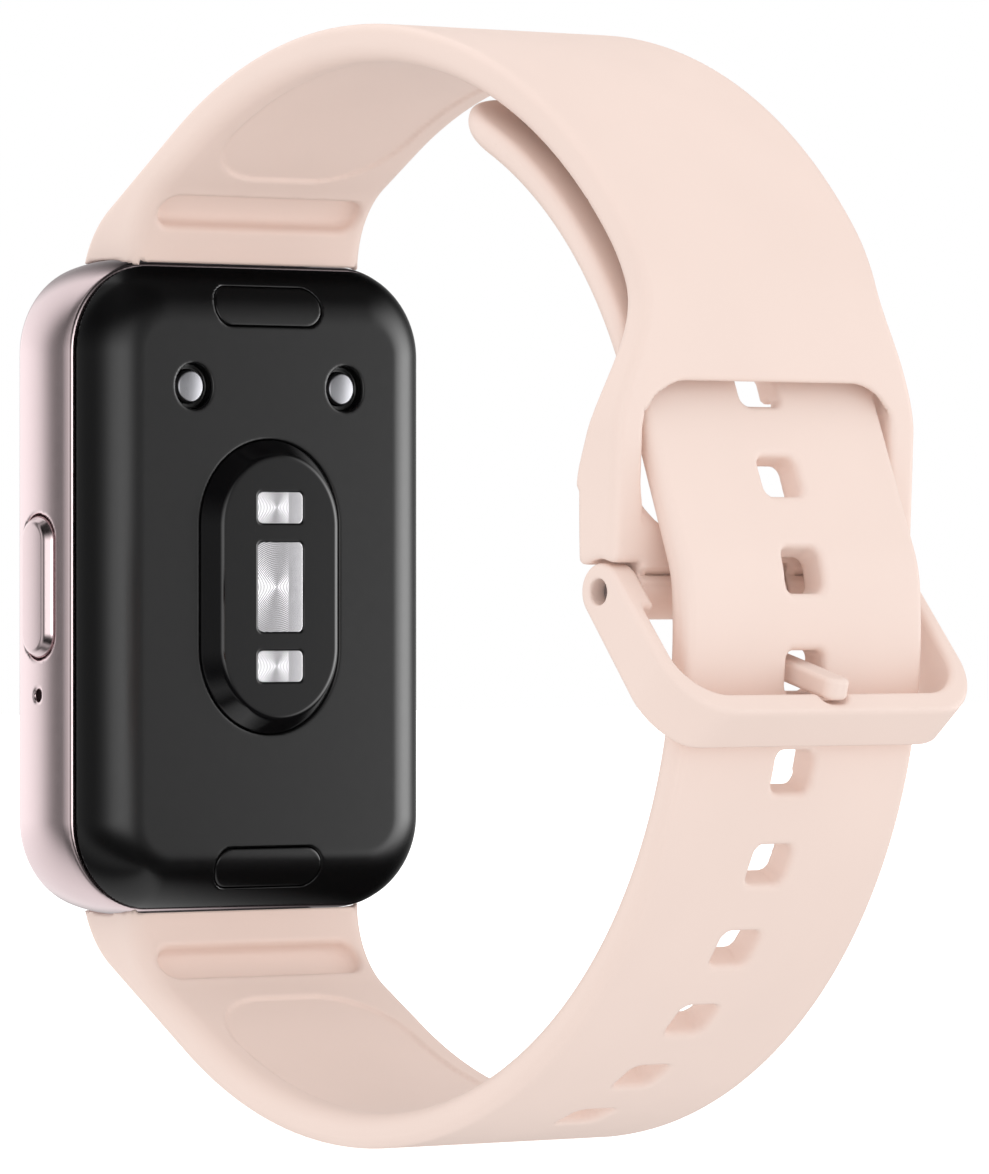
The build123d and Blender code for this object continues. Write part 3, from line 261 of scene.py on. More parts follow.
def tangent(angle, side):
    """Direction of travel along a round at a polar angle."""
    turn = math.radians(angle)
    return (-side * math.sin(turn), side * math.cos(turn))


# ---------------------------------------------------------------- moulded shapes as fields

def meet(first, second, radius):
    """What lies in both fields, with the edge between them rounded."""
    reach = np.hypot(np.maximum(first + radius, 0), np.maximum(second + radius, 0))
    return np.minimum(-radius, np.maximum(first, second)) + reach


def cut(body, tool, radius):
    """The body without the tool, with the rim rounded."""
    return meet(body, -tool, radius)


def join(first, second, radius):
    """Both fields together, with the inner corner filled by a radius."""
    return -meet(-first, -second, radius)


def plate(a, b, half_a, half_b, radius):
    """Distance to a rounded rectangle."""
    qa = np.abs(a) - half_a + radius
    qb = np.abs(b) - half_b + radius
    outside = np.hypot(np.maximum(qa, 0), np.maximum(qb, 0))
    return outside + np.minimum(np.maximum(qa, qb), 0) - radius


def corner(a, b, radius):
    """Distance to a quarter round; a and b run outwards from its centre."""
    return np.hypot(np.maximum(a, 0), np.maximum(b, 0)) + np.minimum(np.maximum(a, b), 0) - radius


def both(*fields):
    """What lies in all the fields, with sharp edges."""
    kept = fields[0]
    for field in fields[1:]:
        kept = np.maximum(kept, field)
    return kept


def either(*fields):
    """All the fields together, with sharp edges."""
    kept = fields[0]
    for field in fields[1:]:
        kept = np.minimum(kept, field)
    return kept


def between(value, low, high):
    """Distance to the slab from low to high."""
    return np.abs(value - (low + high) / 2) - (high - low) / 2


def pin_bar(x, z, radius):
    """Distance to a round bar on the buckle pin's axis."""
    return np.hypot(x - PIN_X, z - PIN_Z) - radius


BAND_CELLS = 3
DRAW_PASSES = 3
SLOPE_STEP = 0.02
LEAST_SLOPE = 0.5
LONGEST_MOVE = 0.5
TINY = 1e-9


def mould(name, field, low, high, pitch):
    """A mesh object of the field's zero surface, with its points drawn onto the exact surface."""
    band = BAND_CELLS * pitch
    axes = [
        np.arange(start - band, stop + (BAND_CELLS + 1) * pitch, pitch)
        for start, stop in zip(low, high)
    ]
    x = axes[0][:, None, None]
    y = axes[1][None, :, None]
    z = axes[2][None, None, :]
    values = np.broadcast_to(field(x, y, z), (len(axes[0]), len(axes[1]), len(axes[2])))
    values = np.ascontiguousarray(np.clip(values, -band, band), dtype=np.float32)
    grid = openvdb.FloatGrid(band)
    grid.copyFromArray(values, tolerance=0.0)
    points, quads = grid.convertToQuads(0.0)
    points = points.astype(np.float64) * pitch + np.array([axis[0] for axis in axes])
    points = drawn_on(points, field, pitch)
    mesh = bpy.data.meshes.new(name)
    mesh.from_pydata((points * MM).tolist(), [], quads[:, ::-1].tolist())
    mesh.validate()
    mesh.update()
    mesh.shade_smooth()
    piece = bpy.data.objects.new(name, mesh)
    bpy.context.scene.collection.objects.link(piece)
    return piece


def drawn_on(points, field, pitch):
    """Moves points along the field's slope until they lie on its zero surface."""
    step = SLOPE_STEP
    for _ in range(DRAW_PASSES):
        x, y, z = points.T
        here = field(x, y, z)
        slope = np.stack(
            [
                field(x + step, y, z) - field(x - step, y, z),
                field(x, y + step, z) - field(x, y - step, z),
                field(x, y, z + step) - field(x, y, z - step),
            ],
            axis=1,
        ) / (2 * step)
        size = np.maximum((slope ** 2).sum(1), LEAST_SLOPE ** 2)
        move = -(here / size)[:, None] * slope
        reach = np.linalg.norm(move, axis=1, keepdims=True)
        points = points + move * np.minimum(1.0, LONGEST_MOVE * pitch / np.maximum(reach, TINY))
    return points


# ---------------------------------------------------------------- the tracker's outer shape

WIDEST_DEPTH = BACK_EDGE_R + (SIDE_BOW_R - BACK_EDGE_R) * math.sin(BACK_LEAN)
FRONT_LEAN = math.asin((LIP_DEPTH - WIDEST_DEPTH - FRONT_EDGE_R) / (SIDE_BOW_R - FRONT_EDGE_R))
BACK_ARC_OVER = (SIDE_BOW_R - BACK_EDGE_R) * math.cos(BACK_LEAN) - SIDE_BOW_R
FRONT_ARC_OVER = (SIDE_BOW_R - FRONT_EDGE_R) * math.cos(FRONT_LEAN) - SIDE_BOW_R


def wall_field(over, depth):
    """The wall's section: rounded back, bowed side and rounded front.

    The first coordinate is the distance beyond the widest outline, the second the depth from
    the back face.
    """
    turn = np.arctan2(depth - WIDEST_DEPTH, over + SIDE_BOW_R)
    bow = np.hypot(over + SIDE_BOW_R, depth - WIDEST_DEPTH) - SIDE_BOW_R
    back = corner(over - BACK_ARC_OVER, BACK_EDGE_R - depth, BACK_EDGE_R)
    front = corner(over - FRONT_ARC_OVER, depth - LIP_DEPTH + FRONT_EDGE_R, FRONT_EDGE_R)
    return np.where(turn < -BACK_LEAN, back, np.where(turn > FRONT_LEAN, front, bow))


def tracker_field(x, y, z):
    """The tracker's outer shape."""
    over = plate(y, z, BODY_WIDTH / 2, BODY_HEIGHT / 2, BODY_CORNER_R)
    return wall_field(over, BACK_X - x)


# ---------------------------------------------------------------- strap connectors

CONNECTOR_HALF = 7.45
CONNECTOR_START = 5.0
CONNECTOR_END = 6.45
CONNECTOR_TOP = 22.85
CONNECTOR_SHOULDER = 20.05
CONNECTOR_EDGE_R = 0.3
CONNECTOR_FIT = 0.05
PLUG_HALF = 0.9
PLUG_START = 3.5
PLUG_END = 5.5
PLUG_TIP_Z = 17.3
PLUG_TOP_Z = 20.3
RELEASE_Z = 18.4
LATCH_RECESS = 0.7


def connector_field(x, y, z):
    """The room for the connector's head inside the strap's thick end."""
    middle = BACK_X - (CONNECTOR_START + CONNECTOR_END) / 2
    half = (CONNECTOR_END - CONNECTOR_START) / 2
    head = plate(x - middle, y, half, CONNECTOR_HALF, CONNECTOR_EDGE_R)
    return both(head, z - CONNECTOR_TOP)


def strap_connector_field(x, y, z):
    """Head in the strap, plug in the tracker, and the recess that the latch bar drops into."""
    end = np.abs(z)
    depth = BACK_X - x
    head = both(connector_field(x, y, end) + CONNECTOR_FIT, CONNECTOR_SHOULDER - end)
    plug = both(np.abs(y) - PLUG_HALF, between(end, PLUG_TIP_Z, PLUG_TOP_Z))
    plug = both(plug, between(depth, PLUG_START, PLUG_END))
    recess = both(np.abs(end - RELEASE_Z) - LATCH_RECESS, PLUG_END - LATCH_RECESS - depth)
    return both(either(head, plug), -recess)


# ---------------------------------------------------------------- the two strap halves

OUTER_EDGE_R = 0.6
INNER_EDGE_R = 1.25
HOLE_COUNT = 12
HOLE_PITCH = 5.97
HOLE_WIDTH = 3.0
HOLE_LENGTH = 2.6
HOLE_R = 0.6
HOLE_RIM_R = 0.42
TIP_TO_HOLE = 15.3
GROOVE_ANGLE = 145.0
GROOVE_LENGTH = 16.3
GROOVE_WIDTH = 2.3
GROOVE_DEPTH = 0.9
GROOVE_FLOOR_R = 0.45
GROOVE_RIM_R = 0.4
DISH_START = 128.0
DISH_HALF = 7.2
DISH_LENGTH = 60.0
DISH_R = 5.0
DISH_DEPTH = 0.22
DISH_FLOOR_R = 0.1
DISH_RIM_R = 0.15

def groove_field(x, y, z, inside):
    """The shallow groove across the inner side, near the tracker."""
    spot = on_round(ROOT_INNER, GROOVE_ANGLE)
    turn = math.radians(GROOVE_ANGLE)
    run = (x - spot[0]) * math.sin(turn) - (z - spot[1]) * math.cos(turn)
    slot = plate(run, y, GROOVE_WIDTH / 2, GROOVE_LENGTH / 2, GROOVE_WIDTH / 2)
    return meet(slot, -(inside + GROOVE_DEPTH), GROOVE_FLOOR_R)


def dish_field(x, y, z, inside, disc):
    """The shallow sunk field on the inner side, over the wrist."""
    start = math.radians(DISH_START)
    run = (start - np.arctan2(z - disc[1], x - disc[0])) * disc[2] - DISH_LENGTH / 2
    area = plate(run, y, DISH_LENGTH / 2, DISH_HALF, DISH_R)
    return meet(area, -(inside + DISH_DEPTH), DISH_FLOOR_R)


def lower_belt(share, start):
    """The lower strap's line at a share of its thickness, from its outer side inwards."""
    rounds = [
        below(ROOT_INNER),
        shrunk(LOWER, share * LOWER_THICKNESS),
        shrunk(BEND, share * LOWER_THICKNESS),
        shrunk(TAIL, share * TAIL_THICKNESS),
    ]
    return belt(rounds, start, TAIL_END_ANGLE, 1)


LOWER_OUTER = belt([below(ROOT), LOWER, BEND, TAIL], 360.0 - ROOT_START, TAIL_END_ANGLE, 1)
LOWER_INNER = lower_belt(1.0, 180.0)
LOWER_MIDDLE = lower_belt(0.5, 200.0)
TAIL_END = LOWER_MIDDLE.length - OVERRUN


def lower_run(x, z):
    """Distances beyond the lower strap's outer and inner sides, and the length along it."""
    outside, _ = LOWER_OUTER.measure(x, z)
    inside, _ = LOWER_INNER.measure(x, z)
    _, along = LOWER_MIDDLE.measure(x, z)
    return outside, -inside, along


def lower_plan(along, y):
    """The lower strap's outline, flattened, with the rounded tail end."""
    long = 200.0
    return plate(along - TAIL_END + long, y, long, STRAP_HALF, TAIL_TIP_R)


# The strap's end stands back from the tracker's back edge here and leaves the metal bare.
REBATE_DEPTH = 5.0
REBATE_HEIGHT = 0.32
REBATE_HALF = 8.9


def fitted(body, x, y, z):
    """A strap's end, shaped to the tracker with its skin gap and its rebate."""
    shell = tracker_field(x, y, z)
    rebate = both(shell - REBATE_HEIGHT, BACK_X - x - REBATE_DEPTH, np.abs(y) - REBATE_HALF)
    return both(body, SKIN_GAP - shell, -rebate)


def lower_strap_field(x, y, z):
    """The half with the holes; its tail runs through the window and lies inside the loop."""
    outside, inside, along = lower_run(x, z)
    body = meet(outside, lower_plan(along, y), OUTER_EDGE_R)
    body = meet(body, inside, INNER_EDGE_R)
    first = TAIL_END - TIP_TO_HOLE
    number = np.clip(np.round((first - along) / HOLE_PITCH), 0, HOLE_COUNT - 1)
    hole = plate(along - first + number * HOLE_PITCH, y, HOLE_LENGTH / 2, HOLE_WIDTH / 2, HOLE_R)
    body = cut(body, hole, HOLE_RIM_R)
    dish = dish_field(x, y, -z, inside, below(shrunk(LOWER, LOWER_THICKNESS)))
    body = cut(body, groove_field(x, y, -z, inside), GROOVE_RIM_R)
    body = cut(body, dish, DISH_RIM_R)
    body = fitted(body, x, y, z)
    return both(body, -connector_field(x, y, -z))


SPLIT_ANGLE = 34.0
SPLIT_X = LOOP_X + CROWN[2] * math.sin(math.radians(SPLIT_ANGLE))
NO_LIMIT = 50.0
RAIL_HALF = 12.05
RAIL_TOP_Z = 18.6
RAIL_FULL_Z = 9.3
RAIL_END_Z = 1.35
RAIL_WAIST = (22.1, 6.2)
RAIL_WAIST_R = 8.0
RAIL_LEAN = 20.0
RAIL_EDGE_R = 0.6
RAIL_END_R = 0.4
WINDOW_HALF = 9.8
WINDOW_TOP_Z = 11.8
WINDOW_BOTTOM_Z = 3.5
WINDOW_R = 3.0
WINDOW_SLANT = 62.0
WINDOW_REACH = 14.0
WINDOW_DEPTH = 8.7
WINDOW_RIM_R = 0.5
HUB_HALF = 9.85
HUB_OVERLAP = 1.0
HUB_JOIN_R = 0.2
SCOOP_R = 2.0
SCOOP_RIM_R = 0.2
ROOM_RIM_R = 0.2
TONGUE_EYE_R = 1.5
NOTCH_HALF = 2.05
NOTCH_GAP = 0.25
NOTCH_RIM_R = 0.25
PIN_R = 0.75


def corner_arc(before, knee, after, radius):
    """The arc that rounds a knee: its two ends, its round, its start angle and its sweep."""
    a = np.subtract(before, knee)
    b = np.subtract(after, knee)
    a = a / np.linalg.norm(a)
    b = b / np.linalg.norm(b)
    half = math.acos(float(np.dot(a, b))) / 2
    back = radius / math.tan(half)
    leave = np.array(knee) + a * back
    arrive = np.array(knee) + b * back
    bisector = (a + b) / np.linalg.norm(a + b)
    centre = np.array(knee) + bisector * radius / math.sin(half)
    start = math.degrees(math.atan2(leave[1] - centre[1], leave[0] - centre[0]))
    stop = math.degrees(math.atan2(arrive[1] - centre[1], arrive[0] - centre[0]))
    sweep = (stop - start + 180) % 360 - 180
    return tuple(leave), tuple(arrive), (centre[0], centre[1], radius), start, sweep


def upper_inner_trail():
    """The upper strap's inner side: over the wrist, then down the rails' bowed inner edge."""
    trail = belt([ROOT_INNER, CROWN_INNER, SHOULDER_INNER], 180.0, -RAIL_LEAN, -1)
    *_, trail.length = trail.pieces.pop()
    leave = on_round(SHOULDER_INNER, -RAIL_LEAN)
    foot = on_round(HUB, 180.0)
    first, last, disc, start, sweep = corner_arc(leave, RAIL_WAIST, foot, RAIL_WAIST_R)
    trail.line(leave, first, -1)
    trail.arc(disc, start, sweep, -1)
    trail.line(last, foot, -1)
    trail.arc(HUB, 180.0, 90.0, -1)
    return trail


UPPER_OUTER = belt([ROOT, CROWN, SHOULDER, HUB], ROOT_START, -180.0, -1)
UPPER_INNER = upper_inner_trail()


def rail_half_width(x, z):
    """Half the strap's width: plain, then flared out to the rails."""
    share = np.clip((RAIL_TOP_Z - z) / (RAIL_TOP_Z - RAIL_FULL_Z), 0.0, 1.0)
    flare = share * share * (3 - 2 * share)
    wide = STRAP_HALF + (RAIL_HALF - STRAP_HALF) * flare
    return np.where(x > SPLIT_X, wide, STRAP_HALF)


def window_field(x, y, z):
    """The way through the strap for the tail, slanted up towards the inside."""
    slant = math.radians(WINDOW_SLANT)
    depth = SHOULDER[0] + SHOULDER[2] - x
    sloped = np.clip(depth, 0.0, WINDOW_REACH * math.cos(slant))
    top = WINDOW_TOP_Z + sloped * math.tan(slant)
    middle = (top + WINDOW_BOTTOM_Z) / 2
    half = (top - WINDOW_BOTTOM_Z) / 2
    flat = plate(z - middle, y, half, WINDOW_HALF, WINDOW_R)
    steep = np.clip((z - middle) / half, 0.0, 1.0)
    level = np.clip(1 - (WINDOW_HALF - np.abs(y)) / WINDOW_R, 0.0, 1.0)
    slope = np.hypot(1.0, math.tan(slant) * steep * (1 - level))
    return both(flat / slope, depth - WINDOW_DEPTH)


def room_field(x, y, z):
    """The lower strap's run, which the upper strap keeps clear of."""
    outside, inside, along = lower_run(x, z)
    return both(outside, inside, lower_plan(along, y)) - STRAP_GAP


def upper_strap_field(x, y, z):
    """The half that flares into two rails round the window and ends in the pin's hub."""
    outside, _ = UPPER_OUTER.measure(x, z)
    inside, _ = UPPER_INNER.measure(x, z)
    inside = -inside
    side = np.abs(y)
    half = rail_half_width(x, z)
    rail_end = np.where(x > SPLIT_X, RAIL_END_Z - z, -NO_LIMIT)
    hub_top = np.where(x > SPLIT_X, z - RAIL_END_Z - HUB_OVERLAP, NO_LIMIT)
    rails = meet(side - half, rail_end, RAIL_END_R)
    plan = join(rails, both(side - HUB_HALF, hub_top), HUB_JOIN_R)
    body = meet(outside, plan, OUTER_EDGE_R)
    flare = (half - STRAP_HALF) / (RAIL_HALF - STRAP_HALF)
    inner_r = INNER_EDGE_R + (RAIL_EDGE_R - INNER_EDGE_R) * flare
    body = meet(body, inside, inner_r)
    body = cut(body, window_field(x, y, z), WINDOW_RIM_R)
    body = cut(body, room_field(x, y, z), ROOM_RIM_R)
    scoop = both(pin_bar(x, z, SCOOP_R), HUB_HALF - side)
    body = cut(body, scoop, SCOOP_RIM_R)
    eye_room = TONGUE_EYE_R + NOTCH_GAP
    outward = both(np.abs(z - PIN_Z) - eye_room, PIN_X - x)
    downward = both(np.abs(x - PIN_X) - eye_room, z - PIN_Z)
    notch = either(pin_bar(x, z, eye_room), outward, downward)
    notch = both(notch, side - NOTCH_HALF)
    body = cut(body, notch, NOTCH_RIM_R)
    body = both(body, -pin_bar(x, z, PIN_R + SKIN_GAP))
    body = cut(body, groove_field(x, y, z, inside), GROOVE_RIM_R)
    body = cut(body, dish_field(x, y, z, inside, CROWN_INNER), DISH_RIM_R)
    body = fitted(body, x, y, z)
    return both(body, -connector_field(x, y, z))


# ---------------------------------------------------------------- buckle

BUCKLE_ANGLE = math.radians(50.0)
FRAME_LENGTH = 11.2
FRAME_HALF = 12.08
FRAME_EYE_R = 1.75
FRAME_END_HALF = 1.95
FRAME_END_SLANT = 0.2
FRAME_CORNER_R = 4.4
FRAME_EDGE_R = 0.42
ARM_EYE_HALF = 10.03
ARM_HALF = 10.93
ARM_STEP = 2.5
ARM_STEP_R = 0.4
ARM_OVERLAP = 0.5
OPENING_END = 9.45
OPENING_R = 3.0
EYE_RIM_R = 0.12
TONGUE_SLOT_R = 0.2
TONGUE_HALF = 0.9
TONGUE_THICKNESS = 1.35
TONGUE_EYE_HALF = 1.75
TONGUE_EYE_EDGE_R = 0.2
TONGUE_JOIN_R = 0.3
TONGUE_REACH = 8.45
TONGUE_RUN_ON = 3.0
TONGUE_FALL = math.radians(15.0)
TONGUE_BEND_R = 1.4
TONGUE_OVERLAP = 0.35
TONGUE_TIP_R = 0.7
TONGUE_EDGE_R = 0.32
BUCKLED_HOLE = 5


def tongue_trail():
    """The tongue's middle line: out from the pin, then down through the buckled hole."""
    spot = LOWER_MIDDLE.spot(TAIL_END - TIP_TO_HOLE - BUCKLED_HOLE * HOLE_PITCH)
    slope = math.tan(TONGUE_FALL)
    bend_x = PIN_X + TONGUE_EYE_R + TONGUE_THICKNESS / 2 - TONGUE_OVERLAP
    bend = (bend_x, spot[1] + slope * (spot[0] - bend_x))
    tip_x = PIN_X + TONGUE_REACH
    tip = (tip_x, spot[1] - slope * (tip_x - spot[0]))
    far_x = tip_x + TONGUE_RUN_ON
    beyond = (far_x, spot[1] - slope * (far_x - spot[0]))
    leave, arrive, disc, start, sweep = corner_arc((PIN_X, PIN_Z), bend, tip, TONGUE_BEND_R)
    trail = Trail().line((PIN_X, PIN_Z), leave).arc(disc, start, sweep).line(arrive, beyond)
    return trail, trail.length - math.dist(tip, beyond)


TONGUE_LINE, TONGUE_TIP = tongue_trail()


def tongue_bar_field(x, y, z, grow=0.0):
    """The tongue's bar along its middle line, grown by a gap."""
    off, along = TONGUE_LINE.measure(x, z)
    long = 20.0
    plan = plate(along - TONGUE_TIP + long, y, long, TONGUE_HALF, TONGUE_TIP_R)
    return meet(np.abs(off) - TONGUE_THICKNESS / 2, plan, TONGUE_EDGE_R) - grow


def tongue_field(x, y, z):
    """The tongue: its bar and the eye round the pin."""
    eye = pin_bar(x, z, TONGUE_EYE_R)
    eye = meet(eye, np.abs(y) - TONGUE_EYE_HALF, TONGUE_EYE_EDGE_R)
    body = join(tongue_bar_field(x, y, z), eye, TONGUE_JOIN_R)
    return both(body, -pin_bar(x, z, PIN_R + SKIN_GAP))


def buckle_frame_field(x, y, z):
    """The frame: two arms from the pin's ends to a crossbar, with a rounded opening."""
    run = (x - PIN_X) * math.cos(BUCKLE_ANGLE) - (z - PIN_Z) * math.sin(BUCKLE_ANGLE)
    rise = (x - PIN_X) * math.sin(BUCKLE_ANGLE) + (z - PIN_Z) * math.cos(BUCKLE_ANGLE)
    side = np.abs(y)
    thicker = (FRAME_END_HALF - FRAME_EYE_R) / FRAME_LENGTH
    arm = np.abs(rise) - FRAME_EYE_R - thicker * np.maximum(run, 0)
    end = run - FRAME_LENGTH + FRAME_END_SLANT - FRAME_END_SLANT * rise / FRAME_END_HALF
    arm = np.where(run > 0, meet(arm, end, FRAME_EDGE_R), np.hypot(run, rise) - FRAME_EYE_R)
    long = 100.0
    plan = plate(run - FRAME_LENGTH + long, y, long, FRAME_HALF, FRAME_CORNER_R)
    body = meet(arm, plan, FRAME_EDGE_R)
    wide = plate(run - OPENING_END + long, y, long, ARM_HALF, OPENING_R)
    wide = meet(wide, ARM_STEP - run, ARM_STEP_R)
    narrow = both(side - ARM_EYE_HALF, run - ARM_STEP - ARM_OVERLAP)
    body = cut(body, either(wide, narrow), FRAME_EDGE_R)
    body = cut(body, pin_bar(x, z, PIN_R + SKIN_GAP), EYE_RIM_R)
    body = cut(body, room_field(x, y, z), ROOM_RIM_R)
    return cut(body, tongue_bar_field(x, y, z, NOTCH_GAP), TONGUE_SLOT_R)


# ---------------------------------------------------------------- tracker

FINE_EDGE_R = 0.08
SOFT_EDGE_R = 0.1
FLUSH_GAP = 0.01
PARTING_DEPTH = 2.75
PARTING_EDGE_R = 0.13
# Half width, half height and corner radius.
CAVITY = (12.7, 15.7, 4.4)
CAVITY_END = 8.45
PANEL_BAY = (11.6, 18.3, 2.9)
PANEL_BAY_DEPTH = 8.3
GLASS = (12.8, 19.85, 4.6)
GLASS_START = 9.1
GLASS_END = 9.9
GLASS_EDGE_R = 0.6
GLASS_GAP = 0.08
GLASS_SEAT_DEPTH = 8.95
SEAL_START = 0.25
SEAL_WIDTH = 0.45
SEAL_DEPTH = 0.4
POCKET_HALF = 7.7
POCKET_START = 2.9
POCKET_MOUTH_START = 4.9
POCKET_LIP_Z = 20.4
POCKET_END = 7.5
POCKET_FLOOR_Z = 16.9
WELL_LONGER = 0.47
WELL_WIDER = 0.3
WELL_OVERLAP = 0.5
COVER_WALL = 1.2
PILL_HALF = 4.325
PILL_R = 1.265
PILL_GAP = 0.06
PILL_EDGE_R = 0.07
FLANGE = 0.35
FLANGE_START = 2.55
FLANGE_END = 3.05
PLUG_ROOM = 3.05
CAP_MIDDLE_END = 2.65
LEG_START = 3.15
LEG_END = 4.05
LEG_HALF = 0.55
LEG_OVERLAP = 0.1
LATCH_START = 5.0
LATCH_END = 6.0
BUTTON_DEPTH = 6.1
BUTTON_HALF = 4.67
BUTTON_R = 1.68
BUTTON_PROUD = 0.5
BUTTON_FOOT = 13.9
BUTTON_FACE_R = 0.02
BUTTON_BEVEL = 0.42
BUTTON_BEVEL_R = 0.12
BEVEL_SLOPE = 1.4
BUTTON_GAP = 0.12
BUTTON_WELL = 13.55
STEM_R = 0.75
STEM_END = 12.05
STEM_OVERLAP = 0.2
STEM_SEAT_R = 1.2
STEM_SEAT = 13.05
VENT_Z = -7.07
VENT_R = 0.42
VENT_SEAT_R = 1.05
VENT_SEAT = 13.0
CONTACT_Y = 6.2
CONTACT_Z = 13.1
CONTACT_R = 1.05
CONTACT_RIM_R = 1.5
CONTACT_TOP = 0.28
CONTACT_CROWN_R = 7.0
CONTACT_MOAT = 0.75
CONTACT_FOOT = 1.5
PAD_OVERLAP = 0.1
DOME_R = 5.65
DOME_HALF = 9.63
DOME_RISE = 1.15
DOME_TOP_R = 4.7
DOME_EDGE_R = 0.16
DOME_SEAT_R = 0.12
DOME_FLANGE = 0.9
DOME_FOOT = 1.8
DOME_HOLLOW_R = 3.9
DOME_WALL = 0.8
LENS_HALF = 1.875
LENS_R = 0.4
LENS_FIT = 0.01
LENS_EDGE_R = 0.03
LENS_SEAT_R = 0.04
# Height of the window's middle and half its height.
LENSES = {
    "sensor_lens_top": (5.2, 1.05),
    "sensor_lens_centre": (0.0, 2.97),
    "sensor_lens_bottom": (-5.2, 1.05),
}
LENS_SINK = 0.03
LENS_THICKNESS = 0.7
RIDGE_STEP = 0.12
RIDGE_HEIGHT = 0.006
RIDGE_CENTRE_Y = -0.3
RIDGE_END_Y = 0.75
RIDGE_FADE = 0.1
LENS_ROLL_OFF = 0.015


def slot_field(a, b, half_length, radius):
    """Distance to a slot shape that lies along a."""
    return np.hypot(np.maximum(np.abs(a) - half_length + radius, 0), b) - radius


def housing_field(x, y, z):
    """The metal frame with its cavity, display seat, strap pockets, button well and vent."""
    depth = BACK_X - x
    end = np.abs(z)
    body = meet(tracker_field(x, y, z), PARTING_DEPTH - depth, PARTING_EDGE_R)
    cavity = plate(y, z, *CAVITY)
    body = cut(body, both(cavity, depth - CAVITY_END), SOFT_EDGE_R)
    body = both(body, -both(plate(y, z, *PANEL_BAY), PANEL_BAY_DEPTH - depth))
    glass = plate(y, z, *GLASS) - GLASS_GAP
    body = cut(body, both(glass, GLASS_SEAT_DEPTH - depth), FINE_EDGE_R)
    seal = between(cavity, SEAL_START, SEAL_START + SEAL_WIDTH)
    body = both(body, -both(seal, depth - PARTING_DEPTH - SEAL_DEPTH))
    hollow = both(np.abs(y) - POCKET_HALF, POCKET_FLOOR_Z - end, depth - POCKET_END)
    mouth = both(hollow, POCKET_MOUTH_START - depth)
    pocket = either(mouth, both(hollow, POCKET_START - depth, end - POCKET_LIP_Z))
    well = slot_field(y, end - RELEASE_Z, PILL_HALF + WELL_LONGER, PILL_R + WELL_WIDER)
    body = both(body, -either(pocket, both(well, depth - POCKET_START - WELL_OVERLAP)))
    across = depth - BUTTON_DEPTH
    well = slot_field(z, across, BUTTON_HALF + BUTTON_GAP, BUTTON_R + BUTTON_GAP)
    body = cut(body, both(well, y + BUTTON_WELL), FINE_EDGE_R)
    stem = both(np.hypot(across, z) - STEM_R - SKIN_GAP, y)
    seat = both(np.hypot(across, z) - STEM_SEAT_R, between(y, -STEM_SEAT, 0.0))
    vent = both(np.hypot(across, z - VENT_Z) - VENT_R, y)
    vent_seat = both(np.hypot(across, z - VENT_Z) - VENT_SEAT_R, between(y, -VENT_SEAT, 0.0))
    body = cut(body, vent, FINE_EDGE_R)
    return both(body, -either(stem, seat, vent_seat))


def back_cover_field(x, y, z):
    """The cover up to the parting line, with openings for dome, release buttons and contacts."""
    depth = BACK_X - x
    body = meet(tracker_field(x, y, z), depth - PARTING_DEPTH, FINE_EDGE_R)
    body = both(body, -both(plate(y, z, *CAVITY), COVER_WALL - depth))
    body = cut(body, slot_field(z, y, DOME_HALF, DOME_R) - SKIN_GAP, DOME_SEAT_R)
    pill = slot_field(y, np.abs(z) - RELEASE_Z, PILL_HALF, PILL_R) - PILL_GAP
    body = cut(body, pill, PILL_EDGE_R)
    spot = np.hypot(np.abs(y) - CONTACT_Y, z - CONTACT_Z)
    body = cut(body, both(spot - CONTACT_RIM_R, depth - CONTACT_MOAT), SOFT_EDGE_R)
    return both(body, -(spot - CONTACT_R - FLUSH_GAP))


def release_field(x, y, z):
    """Pill cap flush with the cover, flange, two legs and the latch bar that joins them.

    The flange leaves room for the connector's plug in the middle.
    """
    depth = BACK_X - x
    rise = np.abs(z) - RELEASE_Z
    shell = tracker_field(x, y, z) + FLUSH_GAP
    body = meet(shell, slot_field(y, rise, PILL_HALF, PILL_R), PILL_EDGE_R)
    body = both(body, depth - FLANGE_START)
    flange = both(
        slot_field(y, rise, PILL_HALF + FLANGE, PILL_R + FLANGE / 2),
        between(depth, FLANGE_START, FLANGE_END),
    )
    shank = both(np.abs(rise) - LEG_HALF, np.abs(y) - LEG_END)
    reach = between(depth, FLANGE_END - LEG_OVERLAP, LATCH_END)
    legs = both(shank, LEG_START - np.abs(y), reach)
    latch = both(shank, between(depth, LATCH_START, LATCH_END))
    plug_room = both(np.abs(y) - PLUG_ROOM, CAP_MIDDLE_END - depth)
    body = both(either(body, flange), -plug_room)
    return both(either(body, legs, latch), shell)


def side_button_field(x, y, z):
    """Slot-shaped cap with a flat bevel, bowed as the wall is, and its stem."""
    across = BACK_X - x - BUTTON_DEPTH
    wall = slot_field(z, across, BUTTON_HALF, BUTTON_R)
    face = tracker_field(x, y, z) - BUTTON_PROUD
    bevel = (BEVEL_SLOPE * (wall + BUTTON_BEVEL) + face) / math.hypot(BEVEL_SLOPE, 1)
    cap = meet(meet(wall, face, BUTTON_FACE_R), bevel, BUTTON_BEVEL_R)
    cap = both(cap, y + BUTTON_FOOT)
    reach = between(y, -BUTTON_FOOT - STEM_OVERLAP, -STEM_END)
    return either(cap, both(np.hypot(across, z) - STEM_R, reach))


